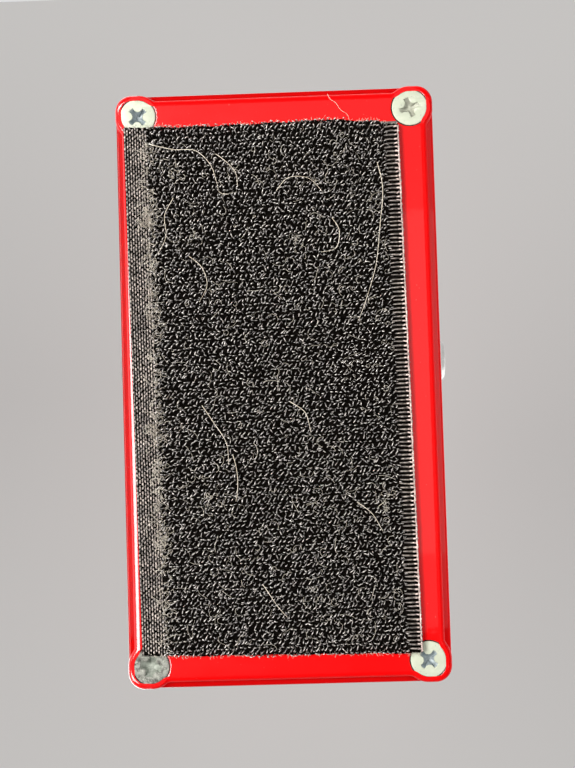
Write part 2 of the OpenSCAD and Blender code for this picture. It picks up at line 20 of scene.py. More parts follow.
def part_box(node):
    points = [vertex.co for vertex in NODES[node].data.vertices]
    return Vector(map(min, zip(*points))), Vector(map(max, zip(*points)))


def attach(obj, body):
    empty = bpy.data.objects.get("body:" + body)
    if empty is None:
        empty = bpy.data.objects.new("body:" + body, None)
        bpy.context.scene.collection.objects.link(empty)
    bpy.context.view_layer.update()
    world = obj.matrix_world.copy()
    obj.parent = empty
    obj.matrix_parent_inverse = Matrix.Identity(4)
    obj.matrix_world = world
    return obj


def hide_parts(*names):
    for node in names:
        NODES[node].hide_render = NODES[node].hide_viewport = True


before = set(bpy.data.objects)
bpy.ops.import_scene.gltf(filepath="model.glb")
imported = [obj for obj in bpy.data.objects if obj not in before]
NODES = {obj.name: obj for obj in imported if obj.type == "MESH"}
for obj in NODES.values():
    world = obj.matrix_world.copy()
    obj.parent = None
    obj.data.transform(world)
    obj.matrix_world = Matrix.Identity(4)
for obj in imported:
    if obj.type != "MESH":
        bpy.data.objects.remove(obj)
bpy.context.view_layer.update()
MM = 0.001
HOUSING = "housing"

# ------------------------------------------------------------------ sizes of the CAD model
CASE_L, CASE_W = 112.4, 60.5
PLATE_Z, SEAM_Z, ROOF_Z = 2.5, 4.5, 33.5
CEILING_Z = 31.3
PLATE_INSET, SCREW_INSET = 1.2, 4.4
SCREW_X, SCREW_Y = CASE_W / 2 - SCREW_INSET, CASE_L / 2 - SCREW_INSET
SCREW_PLACES = [(x, y) for x in (SCREW_X, -SCREW_X) for y in (SCREW_Y, -SCREW_Y)]
SCREW_HOLE_R, SCREW_HOLE_DEPTH, POST_R = 1.75, 14.0, 3.15
LOBE_R, LOBE_FILLET_R, CORNER_R = 4.4, 1.5, 3.1
RIM_X, RIM_Y = 30.35, 56.3
TOP_X, TOP_Y = 29.59, 55.54
ROOF_EDGE_R = 2.5
WALL = 2.0
JACK_Y, JACK_Z, JACK_HOLE_R = 4.5, 19.0, 4.86
DC_Z, DC_HOLE_R, DC_SEAT_R = 17.0, 6.0, 7.1
POT_PLACES = ((-16.0, 42.0), (0.0, 24.6), (16.0, 42.0))
POT_HOLE_R = 3.55
LAMP_Y, LAMP_HOLE_R = 44.5, 4.0
SWITCH_Y, SWITCH_HOLE_R = -37.0, 6.0
TAPE_W, TAPE_L, TAPE_T = 52.0, 98.8, 2.2
TAPE_AT, TAPE_TURN = (1.9, -0.3), math.radians(-0.68)


# ------------------------------------------------------------------ mesh helpers
class Shell:
    """Collects loops of points and the faces between them, then makes one object."""

    def __init__(self):
        self.points, self.faces = [], []
        self.second_from = None

    def loop(self, points):
        start = len(self.points)
        self.points.extend(tuple(p) for p in points)
        return list(range(start, len(self.points)))

    def bridge(self, a, b):
        n = len(a)
        for i in range(n):
            j = (i + 1) % n
            self.faces.append((a[i], a[j], b[j], b[i]))

    def stack(self, loops):
        rings = [self.loop(points) for points in loops]
        for a, b in zip(rings, rings[1:]):
            self.bridge(a, b)
        return rings

    def cap(self, ring):
        self.faces.append(tuple(ring))

    def fill(self, outer, *holes):
        """Fills a flat region with holes. Every loop is a list of indices."""
        rings = [outer, *holes]
        flat = [i for ring in rings for i in ring]
        polygons = [[Vector(self.points[i]) for i in ring] for ring in rings]
        for triangle in tessellate_polygon(polygons):
            self.faces.append(tuple(flat[i] for i in triangle))

    def add(self, points, faces):
        start = len(self.points)
        self.points.extend(map(tuple, points))
        self.faces.extend(tuple(int(i) + start for i in face) for face in faces)

    def make(self, name, material, recalc=True, inner=None):
        """inner is a second material, for the faces that were added after second_from."""
        mesh = bpy.data.meshes.new(name)
        mesh.from_pydata((np.array(self.points, float) * MM).tolist(), [], self.faces)
        mesh.materials.append(material)
        if inner is not None:
            mesh.materials.append(inner)
            second = [int(i >= self.second_from) for i in range(len(self.faces))]
            mesh.polygons.foreach_set("material_index", second)
        if recalc:
            bm = bmesh.new()
            bm.from_mesh(mesh)
            bmesh.ops.remove_doubles(bm, verts=bm.verts, dist=1e-7)
            bmesh.ops.recalc_face_normals(bm, faces=bm.faces)
            bm.to_mesh(mesh)
            bm.free()
        mesh.polygons.foreach_set("use_smooth", [True] * len(mesh.polygons))
        piece = bpy.data.objects.new(name, mesh)
        bpy.context.scene.collection.objects.link(piece)
        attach(piece, HOUSING)
        return piece


def arc(centre, radius, start, end, steps):
    angles = np.radians(np.linspace(start, end, steps + 1))
    return [(centre[0] + radius * math.cos(a), centre[1] + radius * math.sin(a)) for a in angles]


def circle(centre, radius, z, steps=96):
    return [(x, y, z) for x, y in arc(centre, radius, 0, 360, steps)[:-1]]


def tubes(paths, radius, sides, first_side):
    """Points and faces of tubes along many paths that have the same number of points."""
    paths = np.asarray(paths, float)
    n, p, _ = paths.shape
    along = np.gradient(paths, axis=1)
    along /= np.linalg.norm(along, axis=2, keepdims=True) + 1e-12
    side = np.broadcast_to(np.asarray(first_side, float), (n, 3)).copy()
    sides_at = np.empty_like(paths)
    for i in range(p):
        t = along[:, i]
        side = side - (side * t).sum(1, keepdims=True) * t
        side /= np.linalg.norm(side, axis=1, keepdims=True) + 1e-12
        sides_at[:, i] = side
    other = np.cross(along, sides_at)
    turn = 2 * np.pi * np.arange(sides) / sides
    ring = (
        np.cos(turn)[None, None, :, None] * sides_at[:, :, None, :]
        + np.sin(turn)[None, None, :, None] * other[:, :, None, :]
    )
    radius = np.broadcast_to(np.asarray(radius, float), (n, p))
    points = paths[:, :, None, :] + radius[:, :, None, None] * ring
    k = np.arange(sides)
    base = (np.arange(n) * p * sides)[:, None, None]
    row = (np.arange(p - 1) * sides)[None, :, None]
    a = base + row + k[None, None, :]
    b = base + row + ((k + 1) % sides)[None, None, :]
    quads = np.stack([a, b, b + sides, a + sides], axis=-1).reshape(-1, 4)
    starts = base[:, 0, :] + k[::-1][None, :]
    ends = base[:, 0, :] + (p - 1) * sides + k[None, :]
    faces = [tuple(q) for q in quads.tolist()]
    faces += [tuple(q) for q in starts.tolist()] + [tuple(q) for q in ends.tolist()]
    return points.reshape(-1, 3), faces


def crisp(piece, degrees):
    """Breaks the shading at edges sharper than an angle, and keeps flat faces flat."""
    bm = bmesh.new()
    bm.from_mesh(piece.data)
    for edge in bm.edges:
        if len(edge.link_faces) == 2 and edge.calc_face_angle(0) > math.radians(degrees):
            edge.smooth = False
    bm.to_mesh(piece.data)
    bm.free()
    piece.modifiers.new("normals", "WEIGHTED_NORMAL").keep_sharp = True


# ------------------------------------------------------------------ material helpers
class Finish:
    """A principled material whose textures are measured in millimetres on the object."""

    def __init__(self, name, colour, **constants):
        self.material = bpy.data.materials.new(name)
        self.material.use_nodes = True
        self.tree = self.material.node_tree
        self.shader = self.tree.nodes["Principled BSDF"]
        self.colour = (*colour, 1.0)
        self.shader.inputs["Base Color"].default_value = self.colour
        for socket, value in constants.items():
            self.shader.inputs[socket.replace("_", " ")].default_value = value
        self.coords = self.tree.nodes.new("ShaderNodeTexCoord").outputs["Object"]

    def node(self, kind, inputs=(), **settings):
        node = self.tree.nodes.new("ShaderNode" + kind)
        for key, value in settings.items():
            setattr(node, key, value)
        for key, value in dict(inputs).items():
            if isinstance(value, bpy.types.NodeSocket):
                self.tree.links.new(value, node.inputs[key])
            else:
                node.inputs[key].default_value = value
        return node

    def scaled(self, size):
        """Object coordinates in units of size, which is one length or three, in mm."""
        size = (size,) * 3 if isinstance(size, (int, float)) else size
        scale = tuple(1 / (s * MM) for s in size)
        return self.node("Mapping", {"Vector": self.coords, "Scale": scale}).outputs[0]

    def noise(self, size, detail=3.0, rough=0.5):
        inputs = {"Vector": self.scaled(size), "Scale": 1.0, "Detail": detail, "Roughness": rough}
        return self.node("TexNoise", inputs).outputs[0]

    def range(self, value, low, high, start=0.0, end=1.0):
        inputs = {"Value": value, "From Min": start, "From Max": end, "To Min": low, "To Max": high}
        return self.node("MapRange", inputs).outputs[0]

    def maths(self, operation, a, b=0.0):
        return self.node("Math", {0: a, 1: b}, operation=operation).outputs[0]

    def tint(self, share, colour):
        """Mixes another colour over the base colour by a share."""
        old = self.shader.inputs["Base Color"]
        source = old.links[0].from_socket if old.links else self.colour
        mix = self.node("Mix", {0: share, 6: source, 7: (*colour, 1.0)}, data_type="RGBA")
        self.tree.links.new(mix.outputs[2], old)

    def cloud(self, colour, most, start, end, *grain):
        """Tints by noise: nothing where it is below start, and the most above end."""
        self.tint(self.range(self.noise(*grain), 0.0, most, start, end), colour)

    def roughness(self, value, low, high, start=0.3, end=0.7):
        ranged = self.range(value, low, high, start, end)
        self.tree.links.new(ranged, self.shader.inputs["Roughness"])

    def bump(self, height, depth):
        """Bump of a given depth in mm. A second call adds to the first."""
        inputs = {"Strength": 1.0, "Distance": depth * MM, "Height": height}
        normal = self.shader.inputs["Normal"]
        if normal.links:
            inputs["Normal"] = normal.links[0].from_socket
        self.tree.links.new(self.node("Bump", inputs).outputs[0], normal)


def plain(name, colour, second, grain, bump, rough, metal=0.0, **constants):
    """A finish whose colour, roughness and surface vary softly at one grain size."""
    f = Finish(name, colour, Metallic=metal, **constants)
    f.cloud(second, 1.0, 0.35, 0.75, grain * 6, 4.0)
    f.roughness(f.noise(grain * 2.5, 3.0), *rough)
    f.bump(f.noise(grain, 2.0), bump)
    return f.material


def brushed(name, colour, second, rough):
    """A machined or brushed metal with long fine streaks."""
    f = Finish(name, colour, Metallic=1.0)
    lines = f.noise((0.06, 6.0, 6.0), 4.0, 0.65)
    f.tint(f.range(lines, 0.0, 0.7, 0.35, 0.7), second)
    f.cloud(tuple(c * 0.6 for c in second), 0.4, 0.5, 0.8, 4.0, 4.0)
    f.roughness(lines, *rough)
    f.bump(lines, 0.006)
    return f.material


# ------------------------------------------------------------------ materials
def red_paint(name, coat):
    f = Finish(
        name, (0.80, 0.0016, 0.0020),
        Roughness=0.32, Coat_Weight=coat, Coat_Roughness=0.035, Specular_IOR_Level=0.06,
    )
    f.cloud((0.74, 0.0010, 0.0030), 0.35, 0.35, 0.7, 14.0, 2.0)
    # a few faint rubs and specks of dust in the enamel
    f.cloud((0.9, 0.36, 0.3), 0.16, 0.76, 0.83, 0.55, 1.0)
    f.roughness(f.noise((9.0, 3.0, 9.0), 4.0), 0.30, 0.38, 0.35, 0.75)
    f.bump(f.noise(1.7, 1.0), 0.010)
    f.bump(f.noise(0.35, 1.0), 0.0012)
    waves = {"Strength": 1.0, "Distance": 0.006 * MM, "Height": f.noise(2.2, 1.0)}
    f.tree.links.new(f.node("Bump", waves).outputs[0], f.shader.inputs["Coat Normal"])
    return f.material


def bright_zinc():
    f = Finish("zinc_plate_bright", (0.54, 0.59, 0.46), Metallic=0.2, Specular_IOR_Level=0.6)
    f.cloud((0.62, 0.66, 0.54), 0.75, 0.42, 0.7, 1.6, 4.0)
    f.cloud((0.24, 0.27, 0.25), 0.7, 0.62, 0.76, 0.5, 3.0)
    f.roughness(f.noise(0.7, 3.0), 0.28, 0.5)
    f.bump(f.noise(0.22, 3.0), 0.012)
    return f.material


def dull_zinc():
    f = Finish("zinc_plate_worn", (0.36, 0.37, 0.33), Metallic=0.45, Specular_IOR_Level=0.4)
    f.cloud((0.10, 0.10, 0.09), 1.0, 0.42, 0.62, 0.75, 5.0, 0.7)
    f.cloud((0.66, 0.70, 0.60), 0.8, 0.58, 0.68, 0.45, 4.0, 0.7)
    f.roughness(f.noise(0.4, 3.0), 0.45, 0.8)
    f.bump(f.noise(0.3, 4.0, 0.7), 0.10)
    return f.material


def hook_plastic():
    f = Finish(
        "hook_monofilament", (0.052, 0.044, 0.040),
        Roughness=0.34, Specular_IOR_Level=1.0, Coat_Weight=1.0, Coat_Roughness=0.15,
    )
    f.cloud((0.42, 0.39, 0.36), 1.0, 0.47, 0.60, 0.8, 2.0)
    f.roughness(f.noise(0.3, 2.0), 0.28, 0.46, 0.35, 0.65)
    f.bump(f.noise((0.05, 0.05, 0.3), 2.0), 0.004)
    return f.material


def woven_ground():
    # near-black: the backing's own black, made darker still as painted shade in the gaps between
    # the hooks
    f = Finish("woven_ground", (0.003, 0.0025, 0.002), Roughness=0.8, Specular_IOR_Level=0.0)
    yarn = f.noise((0.5, 0.16, 0.5), 3.0, 0.6)
    f.tint(f.range(yarn, 0.0, 0.8, 0.5, 0.72), (0.02, 0.017, 0.015))
    f.roughness(yarn, 0.6, 0.9, 0.0, 1.0)
    f.bump(yarn, 0.10)
    return f.material


def woven_yarn(name, dark, light, sheen):
    f = Finish(
        name, dark,
        Roughness=0.45, Specular_IOR_Level=0.6, Sheen_Weight=sheen, Sheen_Roughness=0.4,
    )
    f.cloud(light, 1.0, 0.42, 0.62, 0.6, 3.0)
    f.cloud(tuple(c * 0.35 for c in dark), 0.55, 0.45, 0.7, 3.2, 3.0)
    f.roughness(f.noise(0.3, 2.0), 0.32, 0.62)
    f.bump(f.noise((0.07, 0.5, 0.07), 3.0), 0.02)
    return f.material


def lint_fibre(name, colour, second):
    f = Finish(
        name, colour,
        Roughness=0.6, Specular_IOR_Level=0.4, Sheen_Weight=0.3, Sheen_Roughness=0.4,
    )
    f.cloud(second, 1.0, 0.35, 0.65, 2.5, 2.0)
    f.roughness(f.noise(0.3, 2.0), 0.45, 0.75, 0.0, 1.0)
    f.bump(f.noise(0.08, 2.0), 0.004)
    return f.material


def knob_plastic():
    f = Finish("knob_satin_black", (0.016, 0.016, 0.017), Roughness=0.38, Specular_IOR_Level=0.5)
    f.cloud((0.028, 0.027, 0.027), 0.6, 0.4, 0.75, 3.0, 4.0)
    f.cloud((0.16, 0.15, 0.14), 0.5, 0.72, 0.82, 0.4, 2.0)
    f.roughness(f.noise(1.1, 4.0), 0.30, 0.52)
    f.bump(f.noise(0.16, 2.0), 0.012)
    return f.material


def spun_aluminium():
    """Fine turned rings, from the distance to the knob's own axis."""
    f = Finish("spun_aluminium", (0.80, 0.80, 0.79), Metallic=1.0, Roughness=0.26)
    across, along, _ = f.node("SeparateXYZ", {0: f.scaled(1.0)}).outputs
    (_, outer_y), (_, middle_y), (outer_x, _) = POT_PLACES
    outer = f.maths("SUBTRACT", f.maths("ABSOLUTE", across), outer_x)
    on_row = f.maths("GREATER_THAN", along, (outer_y + middle_y) / 2)
    x = f.maths("ADD", f.maths("MULTIPLY", outer, on_row),
                f.maths("MULTIPLY", across, f.maths("SUBTRACT", 1.0, on_row)))
    y = f.maths("SUBTRACT", along, f.range(on_row, middle_y, outer_y))
    radius = f.maths("SQRT", f.maths("ADD", f.maths("MULTIPLY", x, x), f.maths("MULTIPLY", y, y)))
    turned = {"W": f.maths("MULTIPLY", radius, 9.0), "Scale": 1.0, "Detail": 2.0}
    rings = f.node("TexNoise", turned, noise_dimensions="1D").outputs[0]
    f.tint(f.range(rings, 0.0, 0.6, 0.35, 0.7), (0.55, 0.55, 0.54))
    f.roughness(rings, 0.2, 0.38)
    f.bump(rings, 0.02)
    return f.material


def lamp_plastic():
    f = Finish(
        "lamp_lens_red", (0.62, 0.012, 0.010),
        Roughness=0.08, Transmission_Weight=0.45, IOR=1.49, Coat_Weight=0.5, Coat_Roughness=0.03,
    )
    f.cloud((0.35, 0.004, 0.004), 0.5, 0.4, 0.7, 1.4, 2.0)
    f.roughness(f.noise(0.8, 2.0), 0.05, 0.14, 0.0, 1.0)
    f.bump(f.noise(1.2, 1.0), 0.004)
    return f.material


RED, DULL_RED = red_paint("red_enamel", 1.0), red_paint("red_enamel_dulled", 0.0)
ZINC, WORN_ZINC = bright_zinc(), dull_zinc()
RECESS, WORN_RECESS, FAINT_RECESS = (
    plain(name, colour, second, grain, bump, rough, metal=0.3)
    for name, colour, second, grain, bump, rough in (
        ("recess_grime", (0.27, 0.33, 0.35), (0.44, 0.50, 0.51), 0.12, 0.02, (0.35, 0.55)),
        ("recess_worn", (0.20, 0.22, 0.19), (0.40, 0.44, 0.38), 0.14, 0.03, (0.4, 0.6)),
        ("recess_filled", (0.30, 0.31, 0.25), (0.52, 0.54, 0.44), 0.14, 0.03, (0.4, 0.6)),
    )
)
HOOK, GROUND = hook_plastic(), woven_ground()
SELVEDGE = woven_yarn("selvedge_yarn", (0.095, 0.078, 0.068), (0.50, 0.43, 0.38), 0.2)
RIB_YARN = woven_yarn("rib_yarn", (0.085, 0.07, 0.06), (0.34, 0.29, 0.25), 0.2)
EDGE_YARN = woven_yarn("edge_yarn", (0.30, 0.23, 0.205), (0.80, 0.62, 0.56), 0.3)
LINT = lint_fibre("beige_lint", (0.56, 0.52, 0.43), (0.32, 0.28, 0.22))
HAIR = lint_fibre("pale_hair", (0.86, 0.79, 0.66), (0.55, 0.47, 0.35))
NICKEL = brushed("bright_nickel", (0.74, 0.72, 0.68), (0.50, 0.48, 0.45), (0.16, 0.34))
STEEL_CAN = brushed("stamped_steel_can", (0.62, 0.62, 0.60), (0.40, 0.40, 0.39), (0.3, 0.5))
KNOB = knob_plastic()
SPUN = spun_aluminium()
BLACK = plain("moulded_black", (0.018, 0.018, 0.019), (0.035, 0.034, 0.033),
              0.25, 0.012, (0.35, 0.55))
LAMP = lamp_plastic()
# painted shade: a dark red-brown for the narrow gap round each screw head
COUNTERSINK_SHADE = plain("countersink_painted_shade", (0.022, 0.004, 0.003), (0.06, 0.008, 0.006),
              0.2, 0.02, (0.6, 0.8))
BLUE = plain("switch_blue_resin", (0.012, 0.07, 0.36), (0.02, 0.10, 0.46), 0.3, 0.01, (0.35, 0.5))
BRASS = brushed("contact_brass", (0.80, 0.60, 0.28), (0.58, 0.40, 0.16), (0.22, 0.4))
BOARD = plain("board_green", (0.010, 0.11, 0.035), (0.006, 0.07, 0.022),
              0.5, 0.02, (0.25, 0.4), Coat_Weight=0.5)
CHIP = plain("chip_black", (0.02, 0.02, 0.021), (0.04, 0.04, 0.04), 0.12, 0.01, (0.5, 0.7))
TAN = plain("resistor_tan", (0.50, 0.34, 0.18), (0.40, 0.25, 0.12), 0.3, 0.01, (0.3, 0.5))
CAP_BLUE = plain("capacitor_sleeve", (0.015, 0.03, 0.12), (0.03, 0.05, 0.18),
                 0.3, 0.006, (0.2, 0.35))
CELL = plain("battery_case", (0.05, 0.05, 0.052), (0.09, 0.09, 0.09),
             0.4, 0.01, (0.25, 0.4), metal=0.4)
FOAM = plain("foam_grey", (0.16, 0.17, 0.19), (0.09, 0.10, 0.11), 0.35, 0.25, (0.85, 0.98))
GLUE = plain("adhesive_film", (0.24, 0.22, 0.20), (0.15, 0.14, 0.13), 0.4, 0.03, (0.5, 0.7))
WIRES = {
    name: plain("wire_" + name, colour, tuple(c * 0.8 for c in colour), 0.3, 0.005, (0.3, 0.45))
    for name, colour in {
        "red": (0.55, 0.012, 0.01), "black": (0.014, 0.014, 0.015),
        "yellow": (0.72, 0.50, 0.02), "white": (0.75, 0.74, 0.70),
    }.items()
}

# ------------------------------------------------------------------ the CAD nodes that stay
NODE_FINISH = {
    "tape_adhesive": GLUE, "lamp_lens": LAMP, "battery": CELL, "battery_terminals": NICKEL,
    "battery_snap": BLACK, "circuit_board": BOARD, "board_chips": CHIP, "dc_socket_body": BLACK,
    "board_capacitors": CAP_BLUE, "board_resistors": TAN, "footswitch_body": BLUE,
    "footswitch_lugs": BRASS, "input_tip_spring": BRASS, "output_tip_spring": BRASS,
    "battery_lead_red": WIRES["red"], "battery_lead_black": WIRES["black"],
    "input_lead": WIRES["yellow"], "output_lead": WIRES["white"],
}
REPLACED = ("enclosure_box", "base_plate", "base_screws", "hook_tape", "battery_foam")
# widths of the rounded edges
SOFT_EDGES = {
    "lamp_bezel": 0.2, "footswitch_bushing": 0.35, "footswitch_button": 0.3,
    "footswitch_nuts": 0.3, "footswitch_washers": 0.12, "jack_nuts": 0.25, "jack_washers": 0.08,
    "input_jack_sleeve": 0.12, "output_jack_sleeve": 0.12, "dc_socket_body": 0.2,
    "dc_centre_pin": 0.2, "pot_nuts": 0.15, "pot_washers": 0.1, "lamp_lens": 0.05,
    "battery": 0.4, "footswitch_body": 0.3,
}
for side in ("left", "middle", "right"):
    NODE_FINISH[side + "_knob"], SOFT_EDGES[side + "_knob"] = KNOB, 0.35
    NODE_FINISH[side + "_knob_cap"], SOFT_EDGES[side + "_knob_cap"] = SPUN, 0.1
    NODE_FINISH[side + "_pot_body"] = STEEL_CAN
BREAK_ANGLE = math.radians(38)


def smooth_by_angle():
    """A modifier group: smooth faces, with edges past the angle left sharp."""
    group = bpy.data.node_groups.new("smooth_by_angle", "GeometryNodeTree")
    group.interface.new_socket("Geometry", in_out="INPUT", socket_type="NodeSocketGeometry")
    group.interface.new_socket("Geometry", in_out="OUTPUT", socket_type="NodeSocketGeometry")
    add, link = group.nodes.new, group.links.new
    start, end = add("NodeGroupInput"), add("NodeGroupOutput")
    faces, edges = add("GeometryNodeSetShadeSmooth"), add("GeometryNodeSetShadeSmooth")
    faces.domain, edges.domain = "FACE", "EDGE"
    faces.inputs["Shade Smooth"].default_value = True
    edges.inputs["Shade Smooth"].default_value = False
    angle, sharp = add("GeometryNodeInputMeshEdgeAngle"), add("FunctionNodeCompare")
    sharp.data_type, sharp.operation = "FLOAT", "GREATER_THAN"
    sharp.inputs[1].default_value = BREAK_ANGLE
    link(start.outputs[0], faces.inputs["Geometry"])
    link(faces.outputs[0], edges.inputs["Geometry"])
    link(angle.outputs[0], sharp.inputs[0])
    link(sharp.outputs[0], edges.inputs["Selection"])
    link(edges.outputs[0], end.inputs[0])
    return group


SMOOTH = smooth_by_angle()


def soften(node, width):
    """Rounds a CAD node's edges with modifiers, so that its own mesh stays as it is."""
    node.modifiers.new("weld", "WELD").merge_threshold = 0.002 * MM
    flat = node.modifiers.new("flat_faces", "DECIMATE")
    flat.decimate_type, flat.angle_limit = "DISSOLVE", math.radians(0.6)
    if width:
        bevel = node.modifiers.new("edges", "BEVEL")
        bevel.width, bevel.segments = width * MM, 3
        bevel.limit_method, bevel.angle_limit = "ANGLE", BREAK_ANGLE
        bevel.use_clamp_overlap = False
    node.modifiers.new("smooth", "NODES").node_group = SMOOTH
    node.modifiers.new("normals", "WEIGHTED_NORMAL").keep_sharp = True


for name, node in NODES.items():
    node.data.materials.clear()
    node.data.materials.append(NODE_FINISH.get(name, NICKEL))
    if name not in REPLACED:
        soften(node, SOFT_EDGES.get(name, 0))


# ------------------------------------------------------------------ bottom plate
def plate_loop(inset, z):
    """The plate's outline, moved in by inset: straight sides and four corner lobes."""
    edge_off = SCREW_INSET - PLATE_INSET
    fillet_at = edge_off + LOBE_FILLET_R
    fillet_along = math.sqrt((LOBE_R + LOBE_FILLET_R) ** 2 - fillet_at ** 2)
    touch = math.degrees(math.atan2(fillet_along, fillet_at))
    side = SCREW_INSET - CORNER_R
    lobe, corner, hollow = LOBE_R - inset, CORNER_R - inset, LOBE_FILLET_R + inset
    quarter = (
        arc((fillet_at, -fillet_along), hollow, 180, 180 - touch, 6)
        + arc((0, 0), lobe, -touch, 0, 6)[1:]
        + arc((side, side), corner, 0, 90, 12)
        + arc((0, 0), lobe, 90, 90 + touch, 6)
        + arc((-fillet_along, fillet_at), hollow, touch - 90, -90, 6)[1:]
    )
    loop = []
    for sx, sy, flip in ((1, 1, False), (-1, 1, True), (-1, -1, False), (1, -1, True)):
        part = [(sx * (SCREW_X + x), sy * (SCREW_Y + y), z) for x, y in quarter]
        loop += part[::-1] if flip else part
    return loop


def build_plate():
    edge_r = 1.3
    shell = Shell()
    profile = [(0.30, SEAM_Z), (0.30, SEAM_Z - 0.16), (0.06, SEAM_Z - 0.26), (0.0, SEAM_Z - 0.40)]
    for a in np.radians(np.linspace(0, 90, 11)):
        profile.append((edge_r * (1 - math.cos(a)), PLATE_Z + edge_r * (1 - math.sin(a))))
    rings = shell.stack([plate_loop(inset, z) for inset, z in profile])
    hole = [(3.78, PLATE_Z), (3.68, PLATE_Z + 0.03), (3.60, PLATE_Z + 0.10),
            (1.85, PLATE_Z + 1.75), (1.85, SEAM_Z)]
    cones = [[shell.loop(circle(at, r, z)) for r, z in hole] for at in SCREW_PLACES]
    shell.fill(rings[-1], *[cone[0] for cone in cones])
    shell.fill(rings[0], *[cone[-1] for cone in cones])
    for cone in cones:
        shell.bridge(cone[0], cone[1])
        shell.bridge(cone[1], cone[2])
    # the ribs that locate the plate inside the walls
    for along_x, reach, off in ((True, 21.15, 53.6), (False, 47.1, 27.65)):
        for middle in (off, -off):
            loops = []
            for inset, z in ((0.0, SEAM_Z), (0.0, SEAM_Z + 0.9), (0.25, SEAM_Z + 1.15)):
                a, b = reach - inset, 0.7 - inset
                box = [(-a, middle - b), (a, middle - b), (a, middle + b), (-a, middle + b)]
                loops.append([(x, y, z) if along_x else (y, x, z) for x, y in box])
            bar = shell.stack(loops)
            shell.cap(bar[0])
            shell.cap(bar[-1])
    # the gap round each screw head is painted dark red-brown, as painted shade of the narrow gap
    shell.second_from = len(shell.faces)
    for cone in cones:
        shell.bridge(cone[2], cone[3])
        shell.bridge(cone[3], cone[4])
    piece = shell.make("bottom_plate", RED, inner=COUNTERSINK_SHADE)
    # handling has dulled the rounded edge, but not on the +X side
    piece.data.materials.append(DULL_RED)
    for face in piece.data.polygons:
        x, y, z = face.center / MM
        off_screw = math.hypot(abs(x) - SCREW_X, abs(y) - SCREW_Y)
        on_edge = z < SEAM_Z - 0.3 and abs(face.normal.z) < 0.995 and off_screw > 3.9
        if on_edge and x < SCREW_X and face.material_index == 0:
            face.material_index = 2
    crisp(piece, 50)
    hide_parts("base_plate")
    return piece


# ------------------------------------------------------------------ cast box
BOX_CORNER_STEPS = 10


def box_loop(half_x, half_y, radius, z):
    loop = []
    for sx, sy, start in ((1, 1, 0), (-1, 1, 90), (-1, -1, 180), (1, -1, 270)):
        centre = (sx * (half_x - radius), sy * (half_y - radius))
        loop += [(x, y, z) for x, y in arc(centre, radius, start, start + 90, BOX_CORNER_STEPS)]
    return loop


